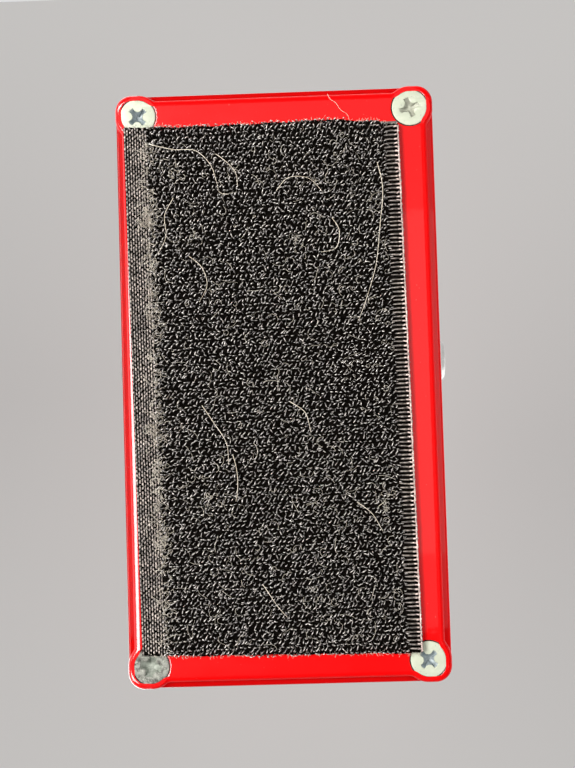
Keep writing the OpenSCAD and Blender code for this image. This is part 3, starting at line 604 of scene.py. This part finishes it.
def build_box():
    shell, wall_cuts = Shell(), {}
    lip_r, hole_lip = 0.45, 0.15
    wall_top = ROOF_Z - ROOF_EDGE_R
    slope = (RIM_X - TOP_X) / (wall_top - SEAM_Z)

    def at(z, inset=0.0):
        lean = (z - SEAM_Z) * slope
        return RIM_X - lean - inset, RIM_Y - lean - inset

    def wall_hole(place, radius, inset=0.0):
        """A hole's loop on a leaning wall. A place is the way that the wall faces, by axis
        and sign, then the hole's centre along the wall and its height."""
        axis, sign, centre, height = place
        points = []
        for u, z in arc((centre, height), radius, 0, 360, 40)[:-1]:
            out = sign * at(z, inset)[axis]
            points.append((out, u, z) if axis == 0 else (u, out, z))
        return shell.loop(points)

    # outside: the rim's rounded edge, the leaning walls and the roof's rounded edge
    profile = []
    for a in np.radians(np.linspace(90, 0, 6)):
        z = SEAM_Z + lip_r * (1 - math.sin(a))
        inset = lip_r * (1 - math.cos(a))
        profile.append((*at(z, inset), CORNER_R - inset, z))
    profile.append((*at(wall_top), ROOF_EDGE_R, wall_top))
    for a in np.radians(np.linspace(9, 90, 10)):
        inset = ROOF_EDGE_R * (1 - math.cos(a))
        radius = max(ROOF_EDGE_R - inset, 0.02)
        z = wall_top + ROOF_EDGE_R * math.sin(a)
        profile.append((TOP_X - inset, TOP_Y - inset, radius, z))
    rings = [shell.loop(box_loop(*row)) for row in profile]
    # the ring at the foot of the walls, which the next ring is the top of
    low = 5
    for i, (a, b) in enumerate(zip(rings, rings[1:])):
        if i != low:
            shell.bridge(a, b)
    # inside
    inner = []
    for z, radius in ((SEAM_Z, 1.1), (CEILING_Z - 1.0, 1.1), (CEILING_Z, 0.4)):
        hx, hy = at(z, WALL if z < CEILING_Z else WALL + 0.6)
        inner.append(shell.loop(box_loop(hx, hy, radius, z)))
    shell.bridge(inner[1], inner[2])
    shell.bridge(rings[0], inner[0])

    # the walls +Y, -X, -Y and +X, with the jack holes and the power socket's stepped hole
    per = BOX_CORNER_STEPS + 1
    holes = [
        ((1, 1, 0.0, DC_Z), DC_SEAT_R, DC_HOLE_R),
        ((0, -1, JACK_Y, JACK_Z), JACK_HOLE_R, JACK_HOLE_R),
        None,
        ((0, 1, JACK_Y, JACK_Z), JACK_HOLE_R, JACK_HOLE_R),
    ]
    for wall, hole in enumerate(holes):
        # the wall's long quad comes after its corner
        last, first = wall * per + BOX_CORNER_STEPS, ((wall + 1) % 4) * per
        for ring_a, ring_b, inside in ((*rings[low:low + 2], False), (*inner[:2], True)):
            quad = [ring_a[last], ring_a[first], ring_b[first], ring_b[last]]
            cuts = []
            if hole:
                place, wide, narrow = hole
                cuts.append(wall_hole(place, *((narrow, WALL) if inside else (wide + hole_lip,))))
            shell.fill(quad, *cuts)
            wall_cuts.setdefault(wall, []).extend(cuts)
            for i in range(wall * per, last):
                shell.faces.append((ring_a[i], ring_a[i + 1], ring_b[i + 1], ring_b[i]))
    for wall in (0, 1, 3):
        (place, wide, narrow), (outer, inner_cut) = holes[wall], wall_cuts[wall]
        lip = wall_hole(place, wide, hole_lip)
        shell.bridge(outer, lip)
        if narrow < wide:
            seat, ledge = wall_hole(place, wide, 1.1), wall_hole(place, narrow, 1.1)
            shell.bridge(lip, seat)
            shell.bridge(seat, ledge)
            lip = ledge
        shell.bridge(lip, inner_cut)

    # the roof and ceiling with the holes for the controls
    cuts = [(x, y, POT_HOLE_R) for x, y in POT_PLACES]
    cuts += [(0.0, LAMP_Y, LAMP_HOLE_R), (0.0, SWITCH_Y, SWITCH_HOLE_R)]
    tops, bottoms = [], []
    for x, y, radius in cuts:
        loops = shell.stack([
            circle((x, y), radius + hole_lip, ROOF_Z), circle((x, y), radius, ROOF_Z - hole_lip),
            circle((x, y), radius, CEILING_Z),
        ])
        tops.append(loops[0])
        bottoms.append(loops[-1])
    shell.fill(rings[-1], *tops)
    shell.fill(inner[2], *bottoms)
    # the four posts that take the screws
    turned = ((SCREW_HOLE_R, SEAM_Z + SCREW_HOLE_DEPTH), (SCREW_HOLE_R, SEAM_Z),
              (POST_R, SEAM_Z), (POST_R, CEILING_Z - 0.05))
    for centre in SCREW_PLACES:
        post = shell.stack([circle(centre, r, z, 24) for r, z in turned])
        shell.cap(post[0])
        shell.cap(post[-1])
    piece = shell.make("box_shell", RED)
    crisp(piece, 50)
    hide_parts("enclosure_box")


# ------------------------------------------------------------------ plate screws
def cross_loop(length, width, corner, turn, scale=None):
    """A cross with soft inner corners. scale gives a factor for each of its points."""
    points = []
    for quarter in range(4):
        part = [(length - 0.1, -width * 1.2), (length, 0.0), (length - 0.1, width * 1.2)]
        part += arc((width + corner, width + corner), corner, 270, 180, 5)
        c, s = math.cos(quarter * math.pi / 2), math.sin(quarter * math.pi / 2)
        points += [(x * c - y * s, x * s + y * c) for x, y in part]
    if scale is not None:
        points = [(x * k, y * k) for (x, y), k in zip(points, scale)]
    c, s = math.cos(turn), math.sin(turn)
    return [(x * c - y * s, x * s + y * c) for x, y in points]


def build_screw(name, at, turn_degrees, material, torn, seed, width=0.46, depth=1.0, inner=RECESS):
    """A countersunk screw, its head down and flush with the plate, with a cross recess. Torn
    is how far its recess is chewed up, and inner is the recess's finish."""
    rng = np.random.default_rng(seed)
    shell = Shell()
    turn = math.radians(turn_degrees)
    outside = [
        (3.18, 0.0), (3.31, 0.03), (3.39, 0.12), (1.75, 1.68),
        (1.62, 2.4), (1.62, 12.6), (1.1, 13.4),
    ]
    rings = shell.stack([circle(at, r, PLATE_Z + z) for r, z in outside])
    shell.cap(rings[-1])
    # the thread, as a helix round the shank
    turns, per_turn, thread_r = 13, 20, 1.58
    angle = np.linspace(0, math.tau * turns, turns * per_turn + 1)
    helix = np.stack([
        at[0] + thread_r * np.cos(angle), at[1] + thread_r * np.sin(angle),
        PLATE_Z + 2.6 + 9.6 * angle / angle[-1],
    ], axis=1)
    shell.add(*tubes(helix[None], 0.11, 4, (0, 0, 1)))
    wear = 1 + torn * rng.uniform(-0.2, 1.0, 36)
    # the recess at growing depths: arm length, half width, corner, depth and wear
    layers = [
        (1.95, width, 0.85, 0.0, wear),
        (1.87, width - 0.06, 0.85, 0.08, 1 + (wear - 1) * 0.6),
        (1.50, width - 0.13, 0.6, 0.75 * depth, None),
        (1.05, width - 0.17, 0.35, 1.15 * depth, None),
        (0.45, width * 0.4, 0.1, 1.45 * depth, None),
    ]
    recess = []
    for length, half, corner, down, scale in layers:
        loop = cross_loop(length, half, corner, turn, scale)
        recess.append(shell.loop([(at[0] + x, at[1] + y, PLATE_Z + down) for x, y in loop]))
    shell.fill(rings[0], recess[0])
    shell.bridge(recess[0], recess[1])
    shell.second_from = len(shell.faces)
    for a, b in zip(recess[1:], recess[2:]):
        shell.bridge(a, b)
    shell.cap(recess[-1])
    piece = shell.make(name, material, inner=inner)
    crisp(piece, 32)
    return piece


# ------------------------------------------------------------------ hook tape
def on_tape(points, origin=TAPE_AT):
    """Points along the tape's width and length, moved to their place on the plate. With
    (0, 0) as the origin, directions on the tape, turned with it."""
    points = np.asarray(points, float)
    c, s = math.cos(TAPE_TURN), math.sin(TAPE_TURN)
    out = points.copy()
    out[..., 0] = origin[0] + c * points[..., 0] - s * points[..., 1]
    out[..., 1] = origin[1] + s * points[..., 0] + c * points[..., 1]
    return out


HALF_W, HALF_L = TAPE_W / 2, TAPE_L / 2
SELVEDGE_W = 4.45
RIB_W, EDGE_W = 1.95, 0.75
GROUND_Z = 1.72
FIELD = (-HALF_W + RIB_W + EDGE_W, HALF_W - SELVEDGE_W)


def end_cut(across, top):
    """Where the scissors' cut runs across the tape: a shallow wave with nicks and a step."""
    across = np.asarray(across, float)
    if top:
        wave = (
            -0.45 - 0.2 / (1 + np.exp((18.0 - across) * 0.9))
            + 0.10 * np.sin(across * 0.13 + 0.6) + 0.08 * np.sin(across * 0.9)
        )
        step = (
            0.55 / (1 + np.exp((across + 16.0) * 1.4)) + 0.75 / (1 + np.exp((across + 22.6) * 2.2))
        )
    else:
        wave = -0.35 + 0.024 * across + 0.08 * np.sin(across * 0.7 + 1.0)
        step = 0.2 / (1 + np.exp((20.0 - across) * 0.9))
    nick = 0.07 * np.sin(across * 7.3 + 0.4) + 0.05 * np.sin(across * 17.1)
    reach = HALF_L - (wave + step + nick)
    return reach if top else -reach


def inside_cut(across, along, margin=0.0):
    return (along < end_cut(across, True) - margin) & (along > end_cut(across, False) + margin)


def build_backing():
    """The woven ground of the tape: a thin sheet with scissor-cut ends."""
    columns, rows = 105, 160
    u = np.linspace(-HALF_W, HALF_W, columns)
    share = np.linspace(0, 1, rows)
    low, high = end_cut(u, False), end_cut(u, True)
    v = low[None, :] + share[:, None] * (high - low)[None, :]
    uu = np.broadcast_to(u[None, :], v.shape)
    shell = Shell()
    grids = []
    for face_z, ripple in ((GROUND_Z, 0.03), (TAPE_T - 0.01, 0.0)):
        z = face_z + ripple * np.sin(uu * 7.4) * np.sin(v * 8.1)
        grids.append(on_tape(np.stack([uu, v, z], axis=-1)))
        shell.points.extend(map(tuple, grids[-1].reshape(-1, 3)))
    index = np.arange(2 * rows * columns).reshape(2, rows, columns)
    for g in (0, 1):
        a, b = index[g, :-1, :-1], index[g, :-1, 1:]
        c, d = index[g, 1:, 1:], index[g, 1:, :-1]
        shell.faces.extend(map(tuple, np.stack([a, b, c, d], -1).reshape(-1, 4).tolist()))
    border = [(0, j) for j in range(columns)] + [(i, columns - 1) for i in range(1, rows)]
    border += [(rows - 1, j) for j in range(columns - 2, -1, -1)]
    border += [(i, 0) for i in range(rows - 2, 0, -1)]
    for (i, j), (k, m) in zip(border, border[1:] + border[:1]):
        corners = (index[0, i, j], index[0, k, m], index[1, k, m], index[1, i, j])
        shell.faces.append(tuple(int(x) for x in corners))
    piece = shell.make("tape_ground", GROUND)
    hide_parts("hook_tape")
    return piece


def floats(at, half, lift, radius, direction, rng, name, material, jitter, steps=6, sides=7):
    """Short yarns that rise over the ground and dip back: one arched tube for each place."""
    n = len(at)
    share = np.linspace(-1, 1, steps)
    angle = direction + rng.normal(0, jitter, n)
    length = half * rng.uniform(0.86, 1.08, n)
    du, dv = np.cos(angle), np.sin(angle)
    paths = np.empty((n, steps, 3))
    paths[..., 0] = at[:, :1] + (du * length)[:, None] * share
    paths[..., 1] = at[:, 1:2] + (dv * length)[:, None] * share
    rise = lift * rng.uniform(0.75, 1.1, n)
    paths[..., 2] = GROUND_Z - rise[:, None] * np.cos(share * 1.35)[None, :] + 0.02
    taper = radius * (0.55 + 0.45 * np.cos(share * 1.25))
    radii = taper[None, :] * rng.uniform(0.85, 1.12, n)[:, None]
    shell = Shell()
    shell.add(*tubes(on_tape(paths), radii, sides, (0, 0, 1)))
    piece = shell.make(name, material, recalc=False)
    return piece


def build_selvedge():
    rng = np.random.default_rng(11)
    pitch_u, pitch_v = 0.49, 0.78
    places = []
    for column in range(9):
        u = HALF_W - 0.28 - column * pitch_u
        for row in range(-66, 67):
            v = (row + (0.5 if column % 2 else 0.0)) * pitch_v
            places.append((u + rng.normal(0, 0.025), v + rng.normal(0, 0.05)))
    places = np.array(places)
    places = places[inside_cut(places[:, 0], places[:, 1], 0.2)]
    return floats(places, 0.27, 0.30, 0.155, math.pi / 2, rng, "tape_selvedge", SELVEDGE, 0.13)


def build_ribs():
    """The weft's turns along one edge: ribs, with a pale knot at the outer end of each."""
    rng = np.random.default_rng(12)
    pitch = 0.78
    count = int(TAPE_L / pitch) + 3
    along = (np.arange(count) - count / 2) * pitch + rng.normal(0, 0.03, count)
    ribs_at = np.stack([np.full(count, -HALF_W + EDGE_W + RIB_W / 2 - 0.1), along], 1)
    ribs_at = ribs_at[inside_cut(ribs_at[:, 0], ribs_at[:, 1], 0.2)]
    knots_at = ribs_at + (0.5 - EDGE_W - RIB_W / 2 + 0.1, 0.0) + rng.normal(0, 0.04, ribs_at.shape)
    ribs_at[:, 0] += rng.normal(0, 0.16, len(ribs_at))
    ribs = floats(ribs_at, 1.12, 0.30, 0.15, 0.0, rng, "tape_edge_ribs", RIB_YARN, 0.04)
    # small turns of yarn along the very edge, between the knots
    along = (np.arange(2 * count) - count) * pitch / 2
    turns_at = np.stack([np.full(2 * count, -HALF_W + 0.17), along], 1)
    turns_at = turns_at[inside_cut(turns_at[:, 0], turns_at[:, 1], 0.2)]
    turns_at += rng.normal(0, 0.03, turns_at.shape)
    places = np.concatenate([knots_at, turns_at])
    is_knot = np.arange(len(places)) < len(knots_at)
    half, way = np.where(is_knot, 0.50, 0.22), np.where(is_knot, 0.0, math.pi / 2)
    cord = floats(places, half, 0.36, 0.165, way, rng, "tape_edge_cord", EDGE_YARN, 0.16)
    return ribs, cord


def build_hooks():
    """Rows of bent monofilament: short crowns along the width, longer slanted ones between."""
    rng = np.random.default_rng(7)
    pitch_u, pitch_v = 0.85, 1.55
    columns = int((FIELD[1] - FIELD[0]) / pitch_u) + 1
    rows = int(TAPE_L / pitch_v / 2) + 2
    places = [
        (FIELD[0] + 0.2 + (i + 0.5 * kind) * pitch_u, (j + 0.5 * kind) * pitch_v, kind)
        for kind in (0, 1) for i in range(columns) for j in range(-rows, rows + 1)
    ]
    at, slanted = np.array(places)[:, :2], np.array(places)[:, 2] > 0
    at = at + rng.normal(0, (0.12, 0.07), at.shape)
    keep = (at[:, 0] < FIELD[1] + 0.1) & inside_cut(at[:, 0], at[:, 1], 0.1)
    at, slanted = at[keep], slanted[keep]
    n = len(at)
    # which way each hook bends, with some that are pushed anywhere
    angle = np.where(slanted, math.radians(128), 0.0) + rng.normal(0, 0.22, n)
    wild = rng.random(n) < 0.12
    angle[wild] = rng.uniform(0, math.tau, wild.sum())
    angle += np.where(rng.random(n) < 0.5, math.pi, 0)
    way = np.stack([np.cos(angle), np.sin(angle)], 1)
    square = np.stack([-way[:, 1], way[:, 0], np.zeros(n)], 1)
    reach = np.where(slanted, rng.uniform(0.24, 0.46, n), rng.uniform(0.15, 0.26, n))
    bend_r = np.where(slanted, rng.uniform(0.30, 0.50, n), rng.uniform(0.22, 0.32, n))
    crown = np.where(slanted, rng.uniform(0.10, 0.50, n), rng.uniform(0.0, 0.15, n))
    stem_lean = rng.normal(0.0, 0.12, n)
    side_lean = rng.normal(0.0, 0.10, n)
    radius = 0.090 * rng.uniform(0.85, 1.15, n)
    # out is along the bend, down is towards the tips
    out, down, across = [], [], []
    depth = GROUND_Z + 0.12
    bend_at = depth - crown - radius - bend_r - 0.01
    for share in (0.0, 0.6, 1.0):
        out.append(-reach + stem_lean * share)
        down.append(bend_at * share)
        across.append(side_lean * share)
    for degrees in (40, 78, 116, 154, 200):
        a = math.radians(degrees)
        out.append(-reach * math.cos(a) + stem_lean)
        down.append(bend_at + bend_r * math.sin(a))
        across.append(side_lean * (1 + 0.25 * degrees / 180))
    out, down, across = (np.stack(x, 1) for x in (out, down, across))
    paths = np.empty((n, out.shape[1], 3))
    paths[..., :2] = (
        at[:, None, :] + way[:, None, :] * out[..., None] + square[:, None, :2] * across[..., None]
    )
    paths[..., 2] = depth - down
    hooks = []
    for third in range(3):
        pick = np.arange(n) % 3 == third
        turned = on_tape(square[pick], (0, 0))
        shell = Shell()
        shell.add(*tubes(on_tape(paths[pick]), radius[pick, None], 5, turned))
        piece = shell.make(f"tape_hooks_{third + 1}", HOOK, recalc=False)
        hooks.append(piece)
    # the cut tips of other filaments, lower and shorter, between the hooks
    tips_at = at + rng.uniform((0.2, 0.2), (0.65, 0.6), (n, 2)) * rng.choice([-1, 1], (n, 2))
    chosen = rng.random(n) < 0.45
    chosen &= (tips_at[:, 0] < FIELD[1]) & inside_cut(tips_at[:, 0], tips_at[:, 1], 0.1)
    tips_at = tips_at[chosen]
    way = rng.choice(np.radians([0, 50, 130]), len(tips_at))
    tips = floats(tips_at, 0.27, 0.95, 0.075, way, rng, "tape_hook_tips", HOOK, 0.4, 4, 4)
    return [*hooks, tips]


def wander(start, heading, length, steps, curl, rng):
    """A random but smooth path over the tips of the hooks."""
    turn = rng.normal(0, curl)
    drift = rng.normal(0, curl * 0.5, steps)
    points, angle = [np.array(start, float)], heading
    for k in range(steps):
        angle += (turn + drift[k]) / steps
        step = length / steps
        points.append(points[-1] + step * np.array([math.cos(angle), math.sin(angle)]))
    return np.array(points)


def build_lint():
    """Short beige fibres, thick along the edge of the hook field, and long pale hairs."""
    rng = np.random.default_rng(21)
    paths, radii = [], []
    steps, ridge_fibres, field_fibres, frayed_ends = 9, 480, 420, 300

    def fibre(start, heading, length, curl, radius, depth, rests_at=GROUND_Z):
        flat = wander(start, heading, length, steps, curl, rng)
        height = depth + 0.10 * np.sin(np.linspace(0, math.pi * rng.uniform(1, 3), steps + 1))
        z = np.clip(height, radius + 0.01, rests_at - radius)
        paths.append(np.column_stack([flat, z]))
        radii.append(np.full(steps + 1, radius))

    ridge = FIELD[1]
    for _ in range(ridge_fibres):
        along = rng.uniform(-HALF_L + 1, HALF_L - 1.5)
        across = ridge + rng.normal(-0.1, 0.75)
        fibre((across, along), rng.uniform(0, math.tau), rng.uniform(0.7, 2.6),
              5.0, rng.uniform(0.024, 0.044), rng.uniform(0.15, 1.0))
    for _ in range(field_fibres):
        along = rng.uniform(-HALF_L + 1, HALF_L - 1.5)
        across = rng.uniform(FIELD[0] + 0.5, FIELD[1])
        fibre((across, along), rng.uniform(0, math.tau), rng.uniform(0.8, 3.4),
              3.0, rng.uniform(0.018, 0.036), rng.uniform(0.08, 0.7))
    # clumps where dust has gathered
    for across, along, count, spread in (
        (ridge + 0.4, 32.6, 60, 0.8), (ridge - 0.3, 15.0, 26, 0.6), (ridge + 0.2, -8.0, 24, 0.6),
        (ridge - 0.5, -27.0, 26, 0.6), (12.0, -21.0, 14, 0.7), (-6.0, 27.0, 14, 0.8),
        (-20.5, -21.5, 16, 0.5), (16.5, 41.0, 16, 0.7),
    ):
        for _ in range(count):
            fibre((across + rng.normal(0, spread), along + rng.normal(0, spread * 1.6)),
                  rng.uniform(0, math.tau), rng.uniform(0.6, 2.0), 5.0,
                  rng.uniform(0.025, 0.05), rng.uniform(0.1, 0.9))
    # the frayed ends of yarn along both cuts, which lie on the plate
    for outward in (1, -1):
        for _ in range(frayed_ends):
            across = rng.uniform(-HALF_W + 0.2, HALF_W - 0.3)
            along = float(end_cut(across, outward > 0)) - 0.12 * outward
            fibre((across, along), outward * math.pi / 2 + rng.normal(0, 0.75),
                  rng.uniform(0.25, 0.85), 2.5, rng.uniform(0.022, 0.042),
                  rng.uniform(1.5, 2.3), rests_at=PLATE_Z)
    shell = Shell()
    shell.add(*tubes(on_tape(np.array(paths)), np.array(radii), 4, (0, 0, 1)))
    lint = shell.make("tape_lint", LINT, recalc=False)

    # long hairs, by the places that each one passes: the last lies across the plate, from its
    # edge to the tape
    routes = [
        [(-21.6, 41.0), (-22.3, 36.0), (-21.5, 29.0), (-20.6, 22.0), (-18.4, 15.5), (-16.6, 11.5)],
        [(21.0, 46.4), (16.5, 45.2), (12.4, 44.8), (9.6, 42.0), (8.6, 38.6), (8.2, 36.8),
         (6.4, 36.2)],
        [(8.6, 44.0), (6.6, 42.4), (5.0, 40.2), (4.6, 37.6)],
        [(13.0, -3.0), (10.8, -6.4), (8.8, -10.0), (8.4, -14.2)],
        [(7.6, -12.4), (6.8, -17.0), (7.4, -21.0)],
        [(3.0, -36.5), (0.8, -40.0), (-1.2, -42.6)],
        [(-2.5, 36.5), (-4.6, 38.8), (-8.6, 38.6), (-11.0, 36.0)],
        [(-12.6, 31.0), (-14.0, 28.4), (-13.2, 25.4), (-10.4, 24.6)],
        [(14.4, 25.0), (12.0, 22.8), (11.2, 19.4), (12.6, 16.2)],
        [(-3.4, -3.0), (-6.2, -5.2), (-7.0, -8.8)],
        [(-15.0, -22.0), (-17.6, -24.2), (-19.6, -27.6)],
        [(16.8, 36.0), (18.6, 33.0), (18.4, 29.0), (20.2, 25.6)],
        [(-12.8, 55.1), (-13.4, 54.0), (-14.5, 53.2), (-15.2, 51.9), (-16.4, 51.0), (-17.0, 49.7)],
    ]
    paths, radii, steps = [], [], 40
    for number, route in enumerate(routes):
        # a smooth curve through the places
        route = np.array(route, float)
        share = np.linspace(0, len(route) - 1, steps)
        i = np.clip(share.astype(int), 0, len(route) - 2)
        t = (share - i)[:, None]
        before, after = route[np.maximum(i - 1, 0)], route[np.minimum(i + 2, len(route) - 1)]
        a, b = route[i], route[i + 1]
        flat = 0.5 * (
            2 * a + (b - before) * t + (2 * before - 5 * a + 4 * b - after) * t ** 2
            + (3 * a - before - 3 * b + after) * t ** 3
        )
        flat += 0.12 * np.sin(np.linspace(0, 9, steps) + rng.uniform(0, 6))[:, None] * (0.6, 0.4)
        on_plate = number == len(routes) - 1
        depth = PLATE_Z - 0.14 if on_plate else 0.12
        z = depth + 0.07 * np.sin(np.linspace(0, 14, steps) + rng.uniform(0, 6))
        paths.append(np.column_stack([flat, z]))
        radii.append(np.linspace(0.066, 0.034, steps) * (0.6 if on_plate else 1.0))
    shell = Shell()
    shell.add(*tubes(on_tape(np.array(paths)), np.array(radii), 5, (0, 0, 1)))
    hairs = shell.make("tape_hairs", HAIR, recalc=False)
    return lint, hairs


# ------------------------------------------------------------------ battery pad
def build_foam():
    """The soft pad beside the battery: a crowned block with rounded sides."""
    lo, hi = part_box("battery_foam")
    lo, hi = np.array(lo) / MM, np.array(hi) / MM
    middle, half = (lo + hi) / 2, (hi - lo) / 2
    shell = Shell()
    nx, nz = 25, 17
    for sign in (-1, 1):
        grid = []
        for i in range(nx):
            for k in range(nz):
                u, w = -1 + 2 * i / (nx - 1), -1 + 2 * k / (nz - 1)
                crown = (1 - u ** 8) ** 0.5 * (1 - w ** 8) ** 0.5
                dent = 0.06 * math.sin(u * 9) * math.cos(w * 5)
                pull = 1 - 0.03 * (1 - crown)
                grid.append((
                    middle[0] + half[0] * u * pull,
                    middle[1] + sign * half[1] * crown * (0.94 + dent * 0.9),
                    middle[2] + half[2] * w * pull,
                ))
        index = shell.loop(grid)
        for i in range(nx - 1):
            for k in range(nz - 1):
                a = i * nz + k
                shell.faces.append(tuple(index[x] for x in (a, a + nz, a + nz + 1, a + 1)))
    piece = shell.make("battery_pad", FOAM)
    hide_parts("battery_foam")
    return piece


plate = build_plate()
build_box()
screws = [
    build_screw("plate_screw_1", (SCREW_X, SCREW_Y), 48, ZINC, 0.04, 31),
    build_screw(
        "plate_screw_2", (-SCREW_X, SCREW_Y), -20, ZINC, 0.36, 32, 0.44, 0.5, FAINT_RECESS,
    ),
    build_screw(
        "plate_screw_3", (SCREW_X, -SCREW_Y), 14, WORN_ZINC, 0.30, 33, 0.66, 0.7, WORN_RECESS,
    ),
    build_screw("plate_screw_4", (-SCREW_X, -SCREW_Y), 42, ZINC, 0.04, 34),
]
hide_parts("base_screws")
ground = build_backing()
on_ground = [build_selvedge(), *build_ribs(), *build_hooks(), *build_lint()]
build_foam()


# ------------------------------------------------------------------ camera
def build_camera():
    """Looks up at the plate from 0.2 m below it, turned a little off square."""
    data = bpy.data.cameras.new("camera")
    camera = bpy.data.objects.new("camera", data)
    bpy.context.scene.collection.objects.link(camera)
    data.lens, data.sensor_width = 50.0, 36.0
    data.clip_start, data.clip_end = 0.01, 10.0
    camera.location = Vector((-4.70, -7.67, -197.6)) * MM
    camera.rotation_euler = tuple(math.radians(a) for a in (-177.80, -1.086, -178.275))
    bpy.context.scene.camera = camera


# ------------------------------------------------------------------ stage and light
def stage_material(name, colour, seen_from_front, glow):
    """A pale matt surface, partly lit by itself, for rays that meet its chosen side."""
    f = Finish(name, colour, Roughness=0.9, Specular_IOR_Level=0.1)
    f.shader.inputs["Emission Color"].default_value = f.colour
    f.shader.inputs["Emission Strength"].default_value = glow
    f.tint(f.range(f.noise(220.0, 2.0), 0.0, 0.3), tuple(c * 0.94 for c in colour))
    clear = f.node("BsdfTransparent")
    back = f.node("NewGeometry").outputs["Backfacing"]
    order = (f.shader.outputs[0], clear.outputs[0])
    mix = f.node("MixShader", {0: back})
    first, second = order if seen_from_front else order[::-1]
    f.tree.links.new(first, mix.inputs[1])
    f.tree.links.new(second, mix.inputs[2])
    f.tree.links.new(mix.outputs[0], f.tree.nodes["Material Output"].inputs["Surface"])
    return f.material


def stage_plane(name, corners, material):
    mesh = bpy.data.meshes.new(name)
    mesh.from_pydata(corners, [], [(0, 1, 2, 3)])
    mesh.materials.append(material)
    piece = bpy.data.objects.new(name, mesh)
    bpy.context.scene.collection.objects.link(piece)
    piece.visible_shadow = piece.visible_diffuse = piece.visible_glossy = False
    piece.visible_transmission = False


# what the panels for the plate's bright edges shine on, and what the strong window shines on
EDGES, UNDERSIDE = bpy.data.collections.new("edges"), bpy.data.collections.new("underside")
for piece in (plate, ground, *on_ground):
    EDGES.objects.link(piece)
for piece in (plate, ground, *on_ground, *screws):
    UNDERSIDE.objects.link(piece)


def rectangle(half_x, half_y, z):
    return [(-half_x, -half_y, z), (half_x, -half_y, z), (half_x, half_y, z), (-half_x, half_y, z)]


def area_light(name, at, aim, size, power, colour=(1, 1, 1), shine="all", only=None):
    """shine is all, gloss or matt. only is a collection, where just a few pieces are lit."""
    data = bpy.data.lights.new(name, "AREA")
    data.shape, data.size, data.size_y = "RECTANGLE", size[0], size[1]
    data.energy, data.color = power, colour
    lamp = bpy.data.objects.new(name, data)
    bpy.context.scene.collection.objects.link(lamp)
    lamp.location = at
    lamp.rotation_mode = "QUATERNION"
    lamp.rotation_quaternion = (Vector(aim) - Vector(at)).to_track_quat("-Z", "Y")
    lamp.visible_diffuse, lamp.visible_glossy = shine != "gloss", shine != "matt"
    if only is not None:
        lamp.light_linking.receiver_collection = only


def build_stage():
    floor = stage_material("pale_floor", (0.42, 0.42, 0.418), True, 1.0)
    stage_plane("floor", rectangle(6.0, 6.0, 0.0), floor)
    backdrop = stage_material("pale_backdrop", (0.42, 0.42, 0.415), False, 0.6)
    stage_plane("backdrop", rectangle(0.110, 0.142, 0.165), backdrop)
    world = bpy.data.worlds.new("soft_room")
    bpy.context.scene.world = world
    world.use_nodes = True
    tree = world.node_tree
    sky = tree.nodes["Background"]
    sky.inputs["Color"].default_value = (0.98, 0.985, 1.0, 1.0)
    # a pale room above the floor's level and a dim one below it
    way = tree.nodes.new("ShaderNodeTexCoord").outputs["Generated"]
    split = tree.nodes.new("ShaderNodeSeparateXYZ")
    level = tree.nodes.new("ShaderNodeMapRange")
    for key, value in (("From Min", -0.06), ("From Max", 0.0), ("To Min", 0.03), ("To Max", 0.74)):
        level.inputs[key].default_value = value
    tree.links.new(way, split.inputs[0])
    tree.links.new(split.outputs[2], level.inputs["Value"])
    tree.links.new(level.outputs[0], sky.inputs["Strength"])
    # below the object, on the camera's side: a window to the +X side and a soft ceiling
    daylight, warm, centre = (1.0, 0.97, 0.94), (1.0, 0.97, 0.95), (0, 0, 0)
    window = ((0.48, 0.10, -0.54), centre, (0.67, 0.35))
    area_light("window_below", *window, 3.6, daylight)
    area_light("window_plate", *window, 7.0, daylight, only=UNDERSIDE)
    area_light("fill_below", (-0.36, -0.02, -0.42), centre, (0.5, 0.3), 2.0, warm, "matt")
    area_light("soft_below", (0.01, 0.04, -0.55), (0.01, 0.04, 0), (0.30, 0.385), 0.17)
    area_light("soft_middle", (-0.06, 0.02, -0.54), (-0.06, 0.02, 0), (0.20, 0.24),
               0.07, (1.0, 0.9, 0.85))
    area_light("edge_panel", (0.17, 0.0, -0.15), (0, 0, -0.02), (0.40, 0.22),
               5.2, (1.0, 0.97, 0.96), "gloss", EDGES)
    area_light("far_panel", (-0.22, 0.02, -0.16), centre, (0.34, 0.05),
               0.08, (1.0, 0.93, 0.86), "gloss", EDGES)
    # above it, for the views of the controls
    box_middle = (0, 0, 0.02)
    area_light("key_above", (0.28, -0.30, 0.55), box_middle, (0.34, 0.34), 1.7, (1.0, 0.98, 0.95))
    area_light("fill_above", (-0.45, -0.1, 0.35), box_middle, (0.4, 0.4), 0.5, (0.94, 0.97, 1.0))
    area_light("rim_above", (0.05, 0.5, 0.4), box_middle, (0.5, 0.15), 0.6)


build_camera()
build_stage()
bpy.context.scene.view_settings.view_transform = "Standard"
